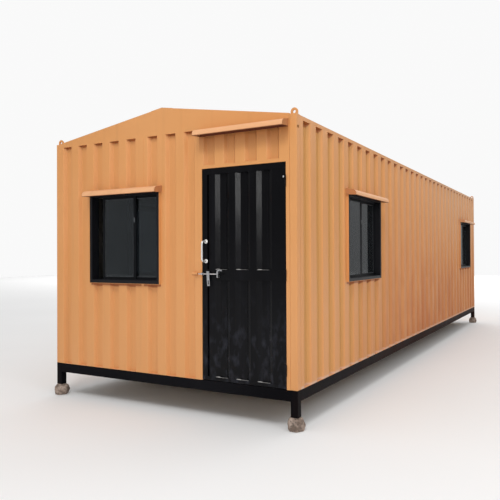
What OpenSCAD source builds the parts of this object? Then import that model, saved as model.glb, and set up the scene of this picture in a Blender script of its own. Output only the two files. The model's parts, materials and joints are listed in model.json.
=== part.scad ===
// Portable site cabin: corrugated steel walls between corner posts, low gable roof,
// framed windows under small canopies and one outward-opening steel door with a slide bolt.
// Front faces -Y, +X is to the right of someone facing the front, z = 0 is the ground.

/* [Cabin] */
// Length over the corner posts, front to back
cabin_l = 9144; // [8700:1:9900]
// Width over the corner posts
cabin_w = 3048; // [2900:1:3400]
// Height from the base frame to the top of the corner posts
wall_h = 2464; // [2430:1:2700]
// Rise of the gables from eaves to ridge
gable_rise = 240; // [160:1:400]
// Side of the square tube of corner posts and legs, also the wall thickness
post = 72; // [68:1:90]
// Metal thickness of posts and legs
post_t = 4; // [3:0.5:6]
// Height of the rails along the tops of the walls
top_rail_h = 34; // [28:1:50]
// Metal thickness of the top rails and gable plates
rail_t = 4; // [2:0.5:5]

/* [Base] */
// Height of the channel base frame
base_h = 100; // [80:1:140]
// Flange width of the base channels
base_flange = 50; // [40:1:65]
// Metal thickness of the base channels
base_t = 6; // [4:0.5:8]
// Spacing of the floor joists
joist_pitch = 610; // [450:1:900]
// Width of a floor joist
joist_w = 40; // [30:1:60]
// Height of a floor joist
joist_h = 75; // [50:1:78]
// Metal thickness of a floor joist
joist_t = 4; // [3:0.5:5]
// Thickness of the floor deck
deck_t = 18; // [12:1:30]
// Clear length of the legs below the base frame
leg_l = 140; // [80:1:260]
// Height of the packing stones under the legs
stone_h = 120; // [80:1:200]
// Width of the packing stones
stone_w = 190; // [160:1:260]

/* [Wall sheets] */
// Depth of the trapezoid corrugations
wave_depth = 36; // [25:1:45]
// Thickness of the wall sheet
sheet_t = 2; // [1:0.5:3]
// Share of the pitch that a valley takes at the crest plane
wave_open = 0.55; // [0.45:0.01:0.65]
// Share of the pitch that a valley takes at its floor
wave_floor = 0.33; // [0.2:0.01:0.4]
// Corrugation pitch of the end walls
end_pitch = 234.5; // [200:0.5:270]
// Centre of the first end-wall valley from the corner
end_first = 171; // [150:1:200]
// Valleys on the front wall's first sheet, left of the seam
seam_after = 5; // [2:1:8]
// Extra crest width where two front sheets join
seam_w = 55; // [0:1:90]
// Corrugation pitch of the side walls
side_pitch = 281; // [240:1:320]
// Centre of the first side-wall valley from the corner
side_first = 216; // [190:1:250]
// Joint between neighbouring lining boards
board_joint = 3; // [1:0.5:8]
// Thickness of the ceiling board
ceiling_t = 12; // [8:1:25]

/* [Roof] */
// Thickness of the roof sheets
roof_t = 3; // [2:0.5:5]
// Height of the roof ribs above the sheet
rib_h = 20; // [10:1:35]
// Width of a roof rib at its foot
rib_w = 60; // [40:1:90]
// Spacing of the roof ribs
rib_pitch = 406; // [300:1:600]
// Ribs stop this far from the eaves and the ends
rib_setback = 110; // [90:1:200]
// Width of each wing of the ridge cap
ridge_wing = 140; // [90:1:200]
// Thickness of the ridge cap
ridge_t = 2; // [1.5:0.5:4]
// Gap between the ridge cap and the tops of the ribs
ridge_gap = 20; // [10:1:60]

/* [Lifting lugs] */
// Thickness of the cap plate on a post
cap_t = 6; // [4:1:10]
// Thickness of the lug plate
lug_t = 12; // [8:1:20]
// Radius of the lifting hole in a lug
lug_hole_r = 15; // [10:1:18]
// Height of the lifting hole above the cap plate
lug_hole_z = 24; // [22:1:40]
// Radius of the tie hole in the side of each post
tie_hole_r = 15; // [8:1:18]
// Depth of the tie hole below the post top
tie_hole_drop = 107; // [60:1:160]

/* [Windows] */
// Left edge of the front window from the left corner
front_win_x = 540; // [450:1:600]
// Wall left between the front window and the doorway
win_door_gap = 475; // [350:1:600]
// Width of a side window over its frame
side_win_w = 1110; // [900:1:1300]
// Near edge of the first side window from the front
side_win_y = 1195; // [900:1:1600]
// Far edge of the second side window from the rear
side_win_rear = 620; // [350:1:900]
// Sill of the windows above the base frame
win_z = 914; // [800:1:1000]
// Wall left above the windows, up to the top of the posts
over_window = 584; // [450:1:750]
// Face width of the window box frame
frame_w = 36; // [28:1:50]
// The box frame stands out from the wall by this much
frame_proud = 27; // [20:1:60]
// Face width of the sash bars
sash_w = 32; // [24:1:45]
// Thickness of a sliding sash
sash_t = 17; // [12:1:18]
// The inner sash lies this far inside the wall's inner face
sash_set = 2; // [1:0.5:6]
// Gap between the two sliding sashes
sash_gap = 3; // [1:0.5:5]
// Thickness of the glass
glass_t = 5; // [3:1:6]
// The front window's outer sash stands open by this much
front_open = 105; // [0:1:200]

/* [Canopies] */
// Projection of the canopies from the wall
canopy_proj = 120; // [100:1:220]
// Fall of a canopy from the wall to its lip
canopy_fall = 24; // [10:1:40]
// Height of the lip at the front of a canopy
canopy_lip = 52; // [30:1:60]
// Height of a canopy's end plates at the wall
canopy_end_h = 68; // [45:1:85]
// Thickness of the canopy sheet
canopy_t = 3; // [2:0.5:4]
// A window canopy's lip tops out this much above the window frame
canopy_over = 16; // [14:1:30]
// A window canopy reaches this far past each side of the window
canopy_side = 18; // [6:1:30]
// Width of the door canopy
door_canopy_w = 980; // [900:1:1060]

/* [Door] */
// Width of the door leaf
door_w = 911; // [820:1:960]
// Wall left above the door leaf, up to the top of the posts
over_door = 422; // [250:1:500]
// Thickness of the door leaf
door_t = 40; // [36:1:44]
// Running gap around the door leaf
door_gap = 5; // [5:0.5:8]
// Gap between the leaf and the base frame or threshold below it
door_floor_gap = 8; // [6:1:12]
// Width of the door jambs and head
jamb_w = 36; // [30:1:60]
// Door stops reach this far past the jambs
stop_w = 15; // [10:1:25]
// Gap between the closed leaf and the stops
stop_gap = 6; // [5:0.5:10]
// Joint between the side stops and the top stop
stop_joint = 2; // [1:0.5:4]
// Width of the leaf's stiles and top rail
stile_w = 56; // [45:1:75]
// Height of the leaf's bottom rail
kick_rail_h = 33; // [25:1:120]
// Height of the leaf's middle rail
mid_rail_h = 100; // [90:1:140]
// Height of the leaf's middle rail as a share of the leaf's top
mid_rail_share = 0.5; // [0.46:0.001:0.55]
// Corrugation pitch of the door panels
panel_pitch = 230; // [190:1:240]
// Width of a door panel valley at its mouth as a share of the pitch
panel_open = 0.7; // [0.5:0.01:0.75]
// Width of a door panel valley's floor as a share of the pitch
panel_floor = 0.29; // [0.2:0.01:0.4]
// Depth of the door panel corrugations
panel_depth = 24; // [15:1:28]
// The panels lie this far behind the leaf's face
panel_set = 4; // [2:1:6]

/* [Hinges] */
// Radius of a hinge knuckle
knuckle_r = 8; // [7:0.5:10]
// Radius of a hinge pin
pin_r = 4; // [3:0.5:5]
// Running clearance around a hinge pin
pin_clear = 0.5; // [0.3:0.1:0.8]
// Length of a whole hinge
hinge_h = 100; // [80:1:140]
// Width of a hinge leaf
hinge_w = 32; // [25:1:38]
// Thickness of a hinge leaf
hinge_t = 3; // [2:0.5:4]
// Middle of the end hinges from the ends of the leaf
hinge_edge = 165; // [100:1:260]
// Axial gap between the two knuckles of a hinge
knuckle_gap = 1; // [0.5:0.5:2]

/* [Door furniture] */
// Radius of the pull handle's bar
grip_r = 9; // [7:0.5:11]
// Distance between the pull handle's feet
grip_span = 190; // [150:1:240]
// Height of the pull handle's lower foot above the middle of the middle rail
grip_rise = 130; // [90:1:200]
// The pull handle's bar stands this far off the leaf
grip_off = 68; // [40:1:80]
// Bend radius of the pull handle's bar
grip_bend = 30; // [20:1:36]
// Distance of the pull handle from the leaf's latch edge
grip_x = 42; // [30:1:50]
// Radius of a handle rose
rose_r = 20; // [15:1:25]
// Thickness of a handle rose
rose_t = 5; // [3:1:8]
// Radius of the slide bolt
bolt_r = 6; // [5:0.5:8]
// The slide bolt's axis lies this far above the middle of the middle rail
bolt_rise = 7; // [0:1:15]
// Running clearance around the slide bolt
bolt_clear = 1; // [0.6:0.1:1.5]
// The slide bolt's axis stands this far off the leaf
bolt_off = 18; // [16:1:24]
// At rest the slide bolt reaches past the leaf's latch edge by this much
bolt_reach = 39; // [30:1:42]
// Travel of the slide bolt into its keep
bolt_travel = 45; // [40:1:50]
// Gap from the bolt's tip at rest to its keep
keep_gap = 6; // [5:1:20]
// Length of the bolt's keep
keep_w = 64; // [40:1:90]
// Metal left around a bolt bore
block_rim = 7; // [5:0.5:10]
// Thickness of the bolt's guides
guide_t = 12; // [8:1:14]
// Outer guide's distance from the leaf's latch edge
guide_edge = 3; // [2:1:6]
// Clearance of the hasp from the guides at either end of its travel
hasp_clear = 5; // [5:0.5:8]
// Distance from the hasp to the inner guide
guide_space = 92; // [20:1:110]
// Height of the bolt's inner guide plate
guide_h = 78; // [60:1:100]
// Width of the hasp that hangs from the bolt
hasp_w = 30; // [20:1:35]
// Length of the hasp below the bolt
hasp_l = 115; // [80:1:130]
// The hasp reaches above the bolt's axis by this much
hasp_rise = 26; // [10:1:30]
// Thickness of the hasp
hasp_t = 5; // [4:0.5:6]

/* [Hidden] */
$fn = 48;
hw = cabin_w / 2;
rear_reach = stone_w / 2 - post / 2;
y_front = -(cabin_l + rear_reach - canopy_proj) / 2;
y_rear = y_front + cabin_l;
z_leg = stone_h;
z_base = z_leg + leg_l;
z_floor = z_base + base_h;
inner = hw - post;
wall_top = wall_h - top_rail_h;
slope = gable_rise / hw;
slope_deg = atan(slope);
eave_rise = post * slope;
slope_l = sqrt(hw * hw + gable_rise * gable_rise);
skin = wave_depth + sheet_t;
over = 1;

end_count = floor((cabin_w - 2 * end_first - seam_w) / end_pitch) + 1;
front_waves = [for (k = [0 : end_count - 1])
    -hw + end_first + k * end_pitch + (k >= seam_after ? seam_w : 0)];
rear_count = floor((cabin_w - 2 * end_first) / end_pitch) + 1;
rear_waves = [for (k = [0 : rear_count - 1]) (k - (rear_count - 1) / 2) * end_pitch];
side_count = floor((cabin_l - 2 * side_first) / side_pitch) + 1;
side_waves = [for (k = [0 : side_count - 1]) side_first + k * side_pitch];

door_top = wall_h - over_door;
leaf_r = inner - jamb_w - door_gap;
leaf_l = leaf_r - door_w;
jamb_l = leaf_l - door_gap - jamb_w;
head_z = door_top + door_gap;
head_top = head_z + jamb_w;
stop_y = door_t + stop_gap;
leaf_z = door_floor_gap;
mid_rail_z = mid_rail_share * door_top;
panel_l = leaf_l + stile_w;
panel_r = leaf_r - stile_w;
panel_mid = (panel_l + panel_r) / 2;
panel_waves = [for (k = [-1 : 1]) panel_mid + k * panel_pitch];
mid_rail_lo = mid_rail_z - mid_rail_h / 2;
mid_rail_hi = mid_rail_z + mid_rail_h / 2;

win_l = -hw + front_win_x;
win_r = jamb_l - win_door_gap;
front_win_w = win_r - win_l;
win_top = wall_h - over_window;
win_h = win_top - win_z;
side_wins = [side_win_y, cabin_l - side_win_rear - side_win_w];

hinge_x = leaf_r + door_gap / 2;
hinge_lo = leaf_z + hinge_edge;
hinge_hi = door_top - hinge_edge;
hinge_zs = [hinge_lo, (hinge_lo + hinge_hi) / 2, hinge_hi];
grip_z = mid_rail_z + grip_rise;
bolt_l = leaf_l - bolt_reach;
bolt_z = mid_rail_z + bolt_rise;
guide_l = leaf_l + guide_edge;
hasp_x = guide_l + guide_t + bolt_travel + hasp_clear;
guide_r = hasp_x + hasp_w + guide_space;
bolt_end = guide_r + guide_t + bolt_travel + hasp_clear;
keep_r = bolt_l - keep_gap;
bolt_bore = bolt_r + bolt_clear;
block_h = 2 * (bolt_bore + block_rim);
block_d = bolt_off + bolt_bore + block_rim;

orange = [0.83, 0.50, 0.24];
black = [0.05, 0.05, 0.06];
steel = [0.75, 0.75, 0.77];
board = [0.86, 0.84, 0.80];

// Depth of a corrugated sheet below its crest plane at x, for valleys of one width
function wave_at(x, centres, open, floor_w, depth) =
    max([for (c = centres)
        let (d = abs(x - c))
        d >= open / 2 ? 0 : d <= floor_w / 2 ? depth : depth * (open / 2 - d) / ((open - floor_w) / 2)]);

// Outline of a corrugated sheet from a to b, seen from above
function wave_outline(a, b, centres, open, floor_w, depth) =
    let (
        bends = [for (c = centres) for (e = [-open / 2, -floor_w / 2, floor_w / 2, open / 2])
            if (c + e > a + over && c + e < b - over) c + e],
        xs = concat([a], bends, [b]),
        face = [for (x = xs) [x, wave_at(x, centres, open, floor_w, depth)]]
    )
    concat(face, [for (i = [len(xs) - 1 : -1 : 0]) face[i] + [0, sheet_t]]);

// Outline of a channel with its web at x = 0
function channel_outline(h, f, t) =
    [[0, 0], [f, 0], [f, t], [t, t], [t, h - t], [f, h - t], [f, h], [0, h]];

// Wall frames: x runs along the wall, y = 0 is its outer face and +y goes indoors, z = 0 is the base frame
module on_front() {
    translate([0, y_front, z_floor]) children();
}

module on_rear() {
    translate([0, y_rear, z_floor]) mirror([0, 1, 0]) children();
}

module on_right() {
    translate([hw, y_front, z_floor]) rotate([0, 0, 90]) children();
}

module on_left() {
    mirror([1, 0, 0]) on_right() children();
}

// Draws its children at the lower left corner of each window. $win_w is that window's width and
// $open is how far its outer sash stands open.
module each_window() {
    on_front() translate([win_l, 0, win_z]) let ($win_w = front_win_w, $open = front_open) children();
    for (y = side_wins) {
        on_right() translate([y, 0, win_z]) let ($win_w = side_win_w, $open = 0) children();
        on_left() translate([y, 0, win_z]) let ($win_w = side_win_w, $open = 0) children();
    }
}

// Draws its children at each corner, turned so that +x and +y lead indoors from the outer corner
module each_corner() {
    for (sx = [0, 1]) {
        for (sy = [0, 1]) {
            mirror([sx, 0, 0]) translate([-hw, sy == 0 ? y_front : y_rear, 0]) mirror([0, sy, 0]) children();
        }
    }
}

module end_sheet(a, b, z0, z1, waves) {
    outline = wave_outline(a, b, waves, wave_open * end_pitch, wave_floor * end_pitch, wave_depth);
    translate([0, 0, z0]) linear_extrude(z1 - z0) polygon(outline);
}

module side_sheet(a, b, z0, z1) {
    outline = wave_outline(a, b, side_waves, wave_open * side_pitch, wave_floor * side_pitch, wave_depth);
    translate([0, 0, z0]) linear_extrude(z1 - z0) polygon(outline);
}

module lining_board(a, b, z0, z1) {
    half = board_joint / 2;
    translate([a + half, skin, z0]) cube([b - a - board_joint, post - skin, z1 - z0]);
}

module side_full_bays() {
    side_sheet(post, side_wins[0], 0, wall_top);
    side_sheet(side_wins[0] + side_win_w, side_wins[1], 0, wall_top);
    side_sheet(side_wins[1] + side_win_w, cabin_l - post, 0, wall_top);
}

module side_lining() {
    lining_board(post, side_wins[0], 0, wall_top);
    lining_board(side_wins[0] + side_win_w, side_wins[1], 0, wall_top);
    lining_board(side_wins[1] + side_win_w, cabin_l - post, 0, wall_top);
    for (y = side_wins) {
        lining_board(y, y + side_win_w, 0, win_z);
        lining_board(y, y + side_win_w, win_top, wall_top);
    }
}

// Base: stones, legs and frame

// One ring of a rough stone: r is its mean radius, turn varies its corners
module stone_ring(r, turn) {
    linear_extrude(1) polygon([for (i = [0 : 7])
        let (k = i % 2 == 0 ? 1 : 1 + 0.12 * sin(137 * i + turn))
        [r * k * cos(45 * i), r * k * sin(45 * i)]]);
}

module foot_stone(turn) {
    hull() {
        stone_ring(0.44 * stone_w, turn);
        translate([0, 0, 0.45 * stone_h]) stone_ring(stone_w / 2, turn + 90);
        translate([0, 0, stone_h - 1]) stone_ring(0.36 * stone_w, turn + 200);
    }
}

module foot_stones() {
    color("dimgray") each_corner() translate([post / 2, post / 2, 0]) foot_stone(40);
}

module square_tube(side, wall, h) {
    difference() {
        cube([side, side, h]);
        translate([wall, wall, -over]) cube([side - 2 * wall, side - 2 * wall, h + 2 * over]);
    }
}

module corner_legs() {
    color(black) each_corner() translate([0, 0, z_leg]) square_tube(post, post_t, leg_l + base_h);
}

module base_rail(l) {
    rotate([90, 0, 90]) linear_extrude(l) polygon(channel_outline(base_h, base_flange, base_t));
}

module base_rails_ends() {
    color(black) {
        on_front() translate([-inner, 0, -base_h]) base_rail(2 * inner);
        on_rear() translate([-inner, 0, -base_h]) base_rail(2 * inner);
    }
}

module base_rails_sides() {
    color(black) {
        on_right() translate([post, 0, -base_h]) base_rail(cabin_l - 2 * post);
        on_left() translate([post, 0, -base_h]) base_rail(cabin_l - 2 * post);
    }
}

module floor_joist() {
    l = cabin_w - 2 * base_flange;
    difference() {
        translate([-l / 2, -joist_w / 2, -joist_h]) cube([l, joist_w, joist_h]);
        translate([-l / 2 - over, -joist_w / 2 + joist_t, -joist_h + joist_t])
            cube([l + 2 * over, joist_w - 2 * joist_t, joist_h - 2 * joist_t]);
    }
}

module floor_joists() {
    run = cabin_l - 2 * post - joist_w;
    count = round(run / joist_pitch);
    color(black) on_front() for (k = [0 : count])
        translate([0, post + joist_w / 2 + k * run / count, 0]) floor_joist();
}

module floor_deck() {
    color("peru") translate([-inner, y_front + post, z_floor]) cube([2 * inner, cabin_l - 2 * post, deck_t]);
}

// Frame: posts, lugs and top rails

module corner_posts() {
    hole_z = wall_h - tie_hole_drop;
    color(orange) each_corner() translate([0, 0, z_floor]) difference() {
        square_tube(post, post_t, wall_h);
        translate([-over, post / 2, hole_z]) rotate([0, 90, 0])
            cylinder(r = tie_hole_r, h = post_t + 2 * over);
    }
}

module lifting_lug() {
    mid = post / 2;
    cube([post, post, cap_t]);
    translate([0, mid - lug_t / 2, cap_t]) difference() {
        union() {
            cube([post, lug_t, lug_hole_z]);
            translate([mid, 0, lug_hole_z]) rotate([-90, 0, 0]) cylinder(r = mid, h = lug_t);
        }
        translate([mid, -over, lug_hole_z]) rotate([-90, 0, 0])
            cylinder(r = lug_hole_r, h = lug_t + 2 * over);
        translate([-over, -over, -post]) cube([post + 2 * over, lug_t + 2 * over, post]);
    }
}

module lifting_lugs() {
    color(orange) each_corner() translate([0, 0, z_floor + wall_h]) lifting_lug();
}

module top_rail_end() {
    depth = post - rail_t;
    translate([-inner, rail_t, wall_top]) difference() {
        cube([2 * inner, depth, top_rail_h]);
        translate([-over, rail_t, rail_t])
            cube([2 * (inner + over), depth - 2 * rail_t, top_rail_h - 2 * rail_t]);
    }
}

module top_rails_ends() {
    color(orange) {
        on_front() top_rail_end();
        on_rear() top_rail_end();
    }
}

// Side rail whose top follows the roof slope
module top_rail_side() {
    l = cabin_l - 2 * post;
    t = rail_t;
    translate([post, 0, wall_top]) rotate([90, 0, 90]) difference() {
        linear_extrude(l)
            polygon([[0, 0], [post, 0], [post, top_rail_h + eave_rise], [0, top_rail_h]]);
        translate([0, 0, -over]) linear_extrude(l + 2 * over)
            polygon([[t, t], [post - t, t], [post - t, top_rail_h - t], [t, top_rail_h - t]]);
    }
}

module top_rails_sides() {
    color(orange) {
        on_right() top_rail_side();
        on_left() top_rail_side();
    }
}

// Walls: corrugated sheets outside, boards inside

module front_wall() {
    color(orange) on_front() {
        end_sheet(-inner, win_l, 0, wall_top, front_waves);
        end_sheet(win_r, jamb_l, 0, wall_top, front_waves);
    }
}

module right_wall() {
    color(orange) on_right() side_full_bays();
}

module left_wall() {
    color(orange) on_left() side_full_bays();
}

module rear_wall() {
    color(orange) on_rear() end_sheet(-inner, inner, 0, wall_top, rear_waves);
}

module walls_below_windows() {
    color(orange) {
        on_front() end_sheet(win_l, win_r, 0, win_z, front_waves);
        for (y = side_wins) {
            on_right() side_sheet(y, y + side_win_w, 0, win_z);
            on_left() side_sheet(y, y + side_win_w, 0, win_z);
        }
    }
}

module walls_above_openings() {
    color(orange) {
        on_front() end_sheet(win_l, win_r, win_top, wall_top, front_waves);
        on_front() end_sheet(jamb_l, inner, head_top, wall_top, front_waves);
        for (y = side_wins) {
            on_right() side_sheet(y, y + side_win_w, win_top, wall_top);
            on_left() side_sheet(y, y + side_win_w, win_top, wall_top);
        }
    }
}

module front_lining() {
    color(board) on_front() {
        lining_board(-inner, win_l, 0, wall_top);
        lining_board(win_l, win_r, 0, win_z);
        lining_board(win_l, win_r, win_top, wall_top);
        lining_board(win_r, jamb_l, 0, wall_top);
        lining_board(jamb_l, inner, head_top, wall_top);
    }
}

module right_lining() {
    color(board) on_right() side_lining();
}

module left_lining() {
    color(board) on_left() side_lining();
}

module rear_lining() {
    color(board) on_rear() lining_board(-inner, inner, 0, wall_top);
}

module ceiling() {
    color(board) translate([-inner, y_front + post, z_floor + wall_top - ceiling_t])
        cube([2 * inner, cabin_l - 2 * post, ceiling_t]);
}

// Gables and roof

module gable_plate() {
    side_z = wall_h + eave_rise;
    translate([0, rail_t, 0]) rotate([90, 0, 0]) linear_extrude(rail_t)
        polygon([[-inner, wall_top], [inner, wall_top], [inner, side_z], [0, wall_h + gable_rise],
            [-inner, side_z]]);
}

module front_gable() {
    color(orange) on_front() gable_plate();
}

module rear_gable() {
    color(orange) on_rear() gable_plate();
}

// One pressed rib lying up the slope, its foot sunk into the sheet
module roof_rib(l) {
    sink = roof_t / 2;
    top_w = rib_w / 2;
    rotate([90, 0, 90]) linear_extrude(l)
        polygon([[-rib_w / 2, -sink], [rib_w / 2, -sink], [rib_w / 2, 0], [top_w / 2, rib_h],
            [-top_w / 2, rib_h], [-rib_w / 2, 0]]);
}

// Right half of the roof: a sheet from eave to ridge with ribs up the slope, notched round the lugs
module roof_half() {
    run = cabin_l - 2 * rib_setback - rib_w;
    count = round(run / rib_pitch);
    rib_l = slope_l - rib_setback - ridge_wing - ridge_gap;
    difference() {
        on_front() translate([0, cabin_l, wall_h]) rotate([90, 0, 0]) linear_extrude(cabin_l)
            polygon([[hw, 0], [hw, roof_t], [0, gable_rise + roof_t], [0, gable_rise]]);
        each_corner() translate([-over, -over, z_floor + wall_h - over])
            cube([post + over, post + over, gable_rise]);
    }
    on_front() for (k = [0 : count])
        translate([hw, rib_setback + rib_w / 2 + k * run / count, wall_h + roof_t])
            mirror([1, 0, 0]) rotate([0, -slope_deg, 0]) translate([rib_setback, 0, 0]) roof_rib(rib_l);
}

module roof_sheet_right() {
    color("sandybrown") roof_half();
}

module roof_sheet_left() {
    color("sandybrown") mirror([1, 0, 0]) roof_half();
}

module ridge_cap() {
    fall = ridge_wing * slope;
    top = gable_rise + roof_t;
    color("sandybrown") on_front() translate([0, cabin_l, wall_h]) rotate([90, 0, 0]) linear_extrude(cabin_l)
        polygon([[-ridge_wing, top - fall], [0, top], [ridge_wing, top - fall],
            [ridge_wing, top - fall + ridge_t], [0, top + ridge_t], [-ridge_wing, top - fall + ridge_t]]);
}

// Windows: a box frame standing out from the wall, two sliding sashes set back in it

module window_jambs() {
    color(black) each_window() for (x = [0, $win_w - frame_w])
        translate([x, -frame_proud, 0]) cube([frame_w, frame_proud + post, win_h]);
}

module window_heads_and_sills() {
    color(black) each_window() for (z = [0, win_h - frame_w])
        translate([frame_w, -frame_proud, z]) cube([$win_w - 2 * frame_w, frame_proud + post, frame_w]);
}

// Places its children at both sashes of a window, with $sash as the width of one sash
module each_sash() {
    clear_w = $win_w - 2 * frame_w;
    w = (clear_w + sash_w) / 2;
    inner_y = post - sash_set - sash_t;
    outer_y = inner_y - sash_gap - sash_t;
    translate([frame_w + $open, outer_y, frame_w]) let ($sash = w) children();
    translate([frame_w + clear_w - w, inner_y, frame_w]) let ($sash = w) children();
}

module window_sashes() {
    h = win_h - 2 * frame_w;
    color([0.2, 0.2, 0.21]) each_window() each_sash() difference() {
        cube([$sash, sash_t, h]);
        translate([sash_w, -over, sash_w]) cube([$sash - 2 * sash_w, sash_t + 2 * over, h - 2 * sash_w]);
    }
}

module window_glass() {
    h = win_h - 2 * frame_w - 2 * sash_w;
    color([0.25, 0.3, 0.33, 0.6]) each_window() each_sash()
        translate([sash_w, (sash_t - glass_t) / 2, sash_w]) cube([$sash - 2 * sash_w, glass_t, h]);
}

// Folded canopy of width w: a falling top sheet, a lip and two closed ends. z = 0 is the top of the lip.
module canopy(w) {
    t = canopy_t;
    p = canopy_proj;
    rotate([90, 0, 90]) linear_extrude(w)
        polygon([[0, canopy_fall], [-p, 0], [-p, -canopy_lip], [t - p, -canopy_lip], [t - p, -t],
            [0, canopy_fall - t]]);
    for (x = [0, w - t])
        translate([x, 0, 0]) rotate([90, 0, 90]) linear_extrude(t)
            polygon([[0, canopy_fall - t / 2], [-p, -t / 2], [-p, -canopy_lip],
                [0, canopy_fall - canopy_end_h]]);
}

module window_canopies() {
    color(orange) each_window()
        translate([-canopy_side, 0, win_h + canopy_over]) canopy($win_w + 2 * canopy_side);
}

// Doorway

module door_jambs() {
    color(orange) on_front() for (x = [jamb_l, inner - jamb_w])
        translate([x, 0, 0]) cube([jamb_w, post, head_z]);
}

module door_head() {
    color(orange) on_front() translate([jamb_l, 0, head_z]) cube([inner - jamb_l, post, jamb_w]);
}

module door_stops() {
    gap_l = leaf_l - door_gap;
    gap_r = leaf_r + door_gap;
    depth = post - stop_y;
    color(orange) on_front() {
        for (x = [gap_l, gap_r - stop_w])
            translate([x, stop_y, deck_t]) cube([stop_w, depth, head_z - stop_w - deck_t - stop_joint]);
        translate([gap_l, stop_y, head_z - stop_w]) cube([gap_r - gap_l, depth, stop_w]);
    }
}

module door_threshold() {
    color(steel) on_front() translate([leaf_l - door_gap, stop_y, 0])
        cube([door_w + 2 * door_gap, post - stop_y, deck_t]);
}

module door_canopy() {
    color(orange) on_front()
        translate([(leaf_l + leaf_r - door_canopy_w) / 2, 0, wall_top - canopy_fall]) canopy(door_canopy_w);
}

// Fixed half of each hinge: a leaf on the jamb, the lower knuckle and the pin
module hinge_pin() {
    half = hinge_h / 2;
    cylinder(r = knuckle_r, h = half);
    cylinder(r = pin_r, h = hinge_h - pin_r);
    translate([0, knuckle_r - hinge_t, 0]) cube([door_gap / 2 + hinge_w, hinge_t, half]);
}

module hinge_pins() {
    color(steel) on_front() for (z = hinge_zs)
        translate([hinge_x, -knuckle_r, z - hinge_h / 2]) hinge_pin();
}

// Block with a bore for the slide bolt, its back on the wall face
module bolt_block(w, h) {
    difference() {
        translate([0, -block_d, -h / 2]) cube([w, block_d, h]);
        translate([-over, -bolt_off, 0]) rotate([0, 90, 0]) cylinder(r = bolt_bore, h = w + 2 * over);
    }
}

module bolt_keep() {
    color(orange) on_front() translate([keep_r - keep_w, 0, bolt_z]) bolt_block(keep_w, block_h);
}

// Door leaf

module door_leaf_frame() {
    color(black) on_front() translate([leaf_l, 0, leaf_z]) difference() {
        cube([door_w, door_t, door_top - leaf_z]);
        translate([stile_w, -over, kick_rail_h])
            cube([door_w - 2 * stile_w, door_t + 2 * over, mid_rail_lo - leaf_z - kick_rail_h]);
        translate([stile_w, -over, mid_rail_hi - leaf_z])
            cube([door_w - 2 * stile_w, door_t + 2 * over, door_top - stile_w - mid_rail_hi]);
    }
}

module door_panel(z0, z1) {
    outline = wave_outline(panel_l, panel_r, panel_waves, panel_open * panel_pitch, panel_floor * panel_pitch,
        panel_depth);
    translate([0, panel_set, z0]) linear_extrude(z1 - z0) polygon(outline);
}

module door_panels() {
    color(black) on_front() {
        door_panel(leaf_z + kick_rail_h, mid_rail_lo);
        door_panel(mid_rail_hi, door_top - stile_w);
    }
}

// Moving half of each hinge: a leaf on the door and the upper knuckle, bored for the pin
module hinge_leaf() {
    half = hinge_h / 2;
    lift = half + knuckle_gap;
    h = half - knuckle_gap;
    difference() {
        union() {
            translate([0, 0, lift]) cylinder(r = knuckle_r, h = h);
            translate([-door_gap / 2 - hinge_w, knuckle_r - hinge_t, lift])
                cube([door_gap / 2 + hinge_w, hinge_t, h]);
        }
        translate([0, 0, lift - over]) cylinder(r = pin_r + pin_clear, h = h + 2 * over);
    }
}

module hinge_leaves() {
    color(steel) on_front() for (z = hinge_zs)
        translate([hinge_x, -knuckle_r, z - hinge_h / 2]) hinge_leaf();
}

// Pull handle: a bent round bar on two roses
module door_handle() {
    color(steel) on_front() translate([leaf_l + grip_x, 0, grip_z]) {
        for (z = [0, grip_span])
            translate([0, 0, z]) rotate([90, 0, 0]) {
                cylinder(r = rose_r, h = rose_t);
                cylinder(r = grip_r, h = grip_off - grip_bend);
            }
        translate([0, -grip_off, grip_bend]) cylinder(r = grip_r, h = grip_span - 2 * grip_bend);
        translate([0, grip_bend - grip_off, grip_bend]) rotate([0, 90, 0])
            rotate_extrude(angle = -90) translate([grip_bend, 0]) rotate(-90) circle(r = grip_r);
        translate([0, grip_bend - grip_off, grip_span - grip_bend]) mirror([0, 0, 1]) rotate([0, 90, 0])
            rotate_extrude(angle = -90) translate([grip_bend, 0]) rotate(-90) circle(r = grip_r);
    }
}

module bolt_guides() {
    color(steel) on_front() translate([0, 0, bolt_z]) {
        translate([guide_l, 0, 0]) bolt_block(guide_t, block_h);
        translate([guide_r, 0, 0]) bolt_block(guide_t, guide_h);
    }
}

// Slide bolt with its hasp, a flat strap with a slot for a padlock
module slide_bolt() {
    slot_w = hasp_w / 3;
    slot_h = hasp_l / 3;
    strap_y = -bolt_off - bolt_r - hasp_t / 2;
    color(steel) on_front() translate([0, 0, bolt_z]) {
        translate([bolt_l, -bolt_off, 0]) rotate([0, 90, 0]) cylinder(r = bolt_r, h = bolt_end - bolt_l);
        translate([hasp_x, strap_y, -hasp_l]) difference() {
            cube([hasp_w, hasp_t, hasp_l + hasp_rise]);
            translate([(hasp_w - slot_w) / 2, -over, hasp_w / 2]) cube([slot_w, hasp_t + 2 * over, slot_h]);
        }
    }
}

foot_stones();
corner_legs();
base_rails_ends();
base_rails_sides();
floor_joists();
floor_deck();
corner_posts();
lifting_lugs();
top_rails_ends();
top_rails_sides();
front_wall();
right_wall();
left_wall();
rear_wall();
walls_below_windows();
walls_above_openings();
front_lining();
right_lining();
left_lining();
rear_lining();
ceiling();
front_gable();
rear_gable();
roof_sheet_right();
roof_sheet_left();
ridge_cap();
window_jambs();
window_heads_and_sills();
window_sashes();
window_glass();
window_canopies();
door_jambs();
door_head();
door_stops();
door_threshold();
door_canopy();
hinge_pins();
bolt_keep();
door_leaf_frame();
door_panels();
hinge_leaves();
door_handle();
bolt_guides();
slide_bolt();
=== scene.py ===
import json
import math
import random

import bmesh
import bpy
from mathutils import Matrix, Vector, noise


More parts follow.
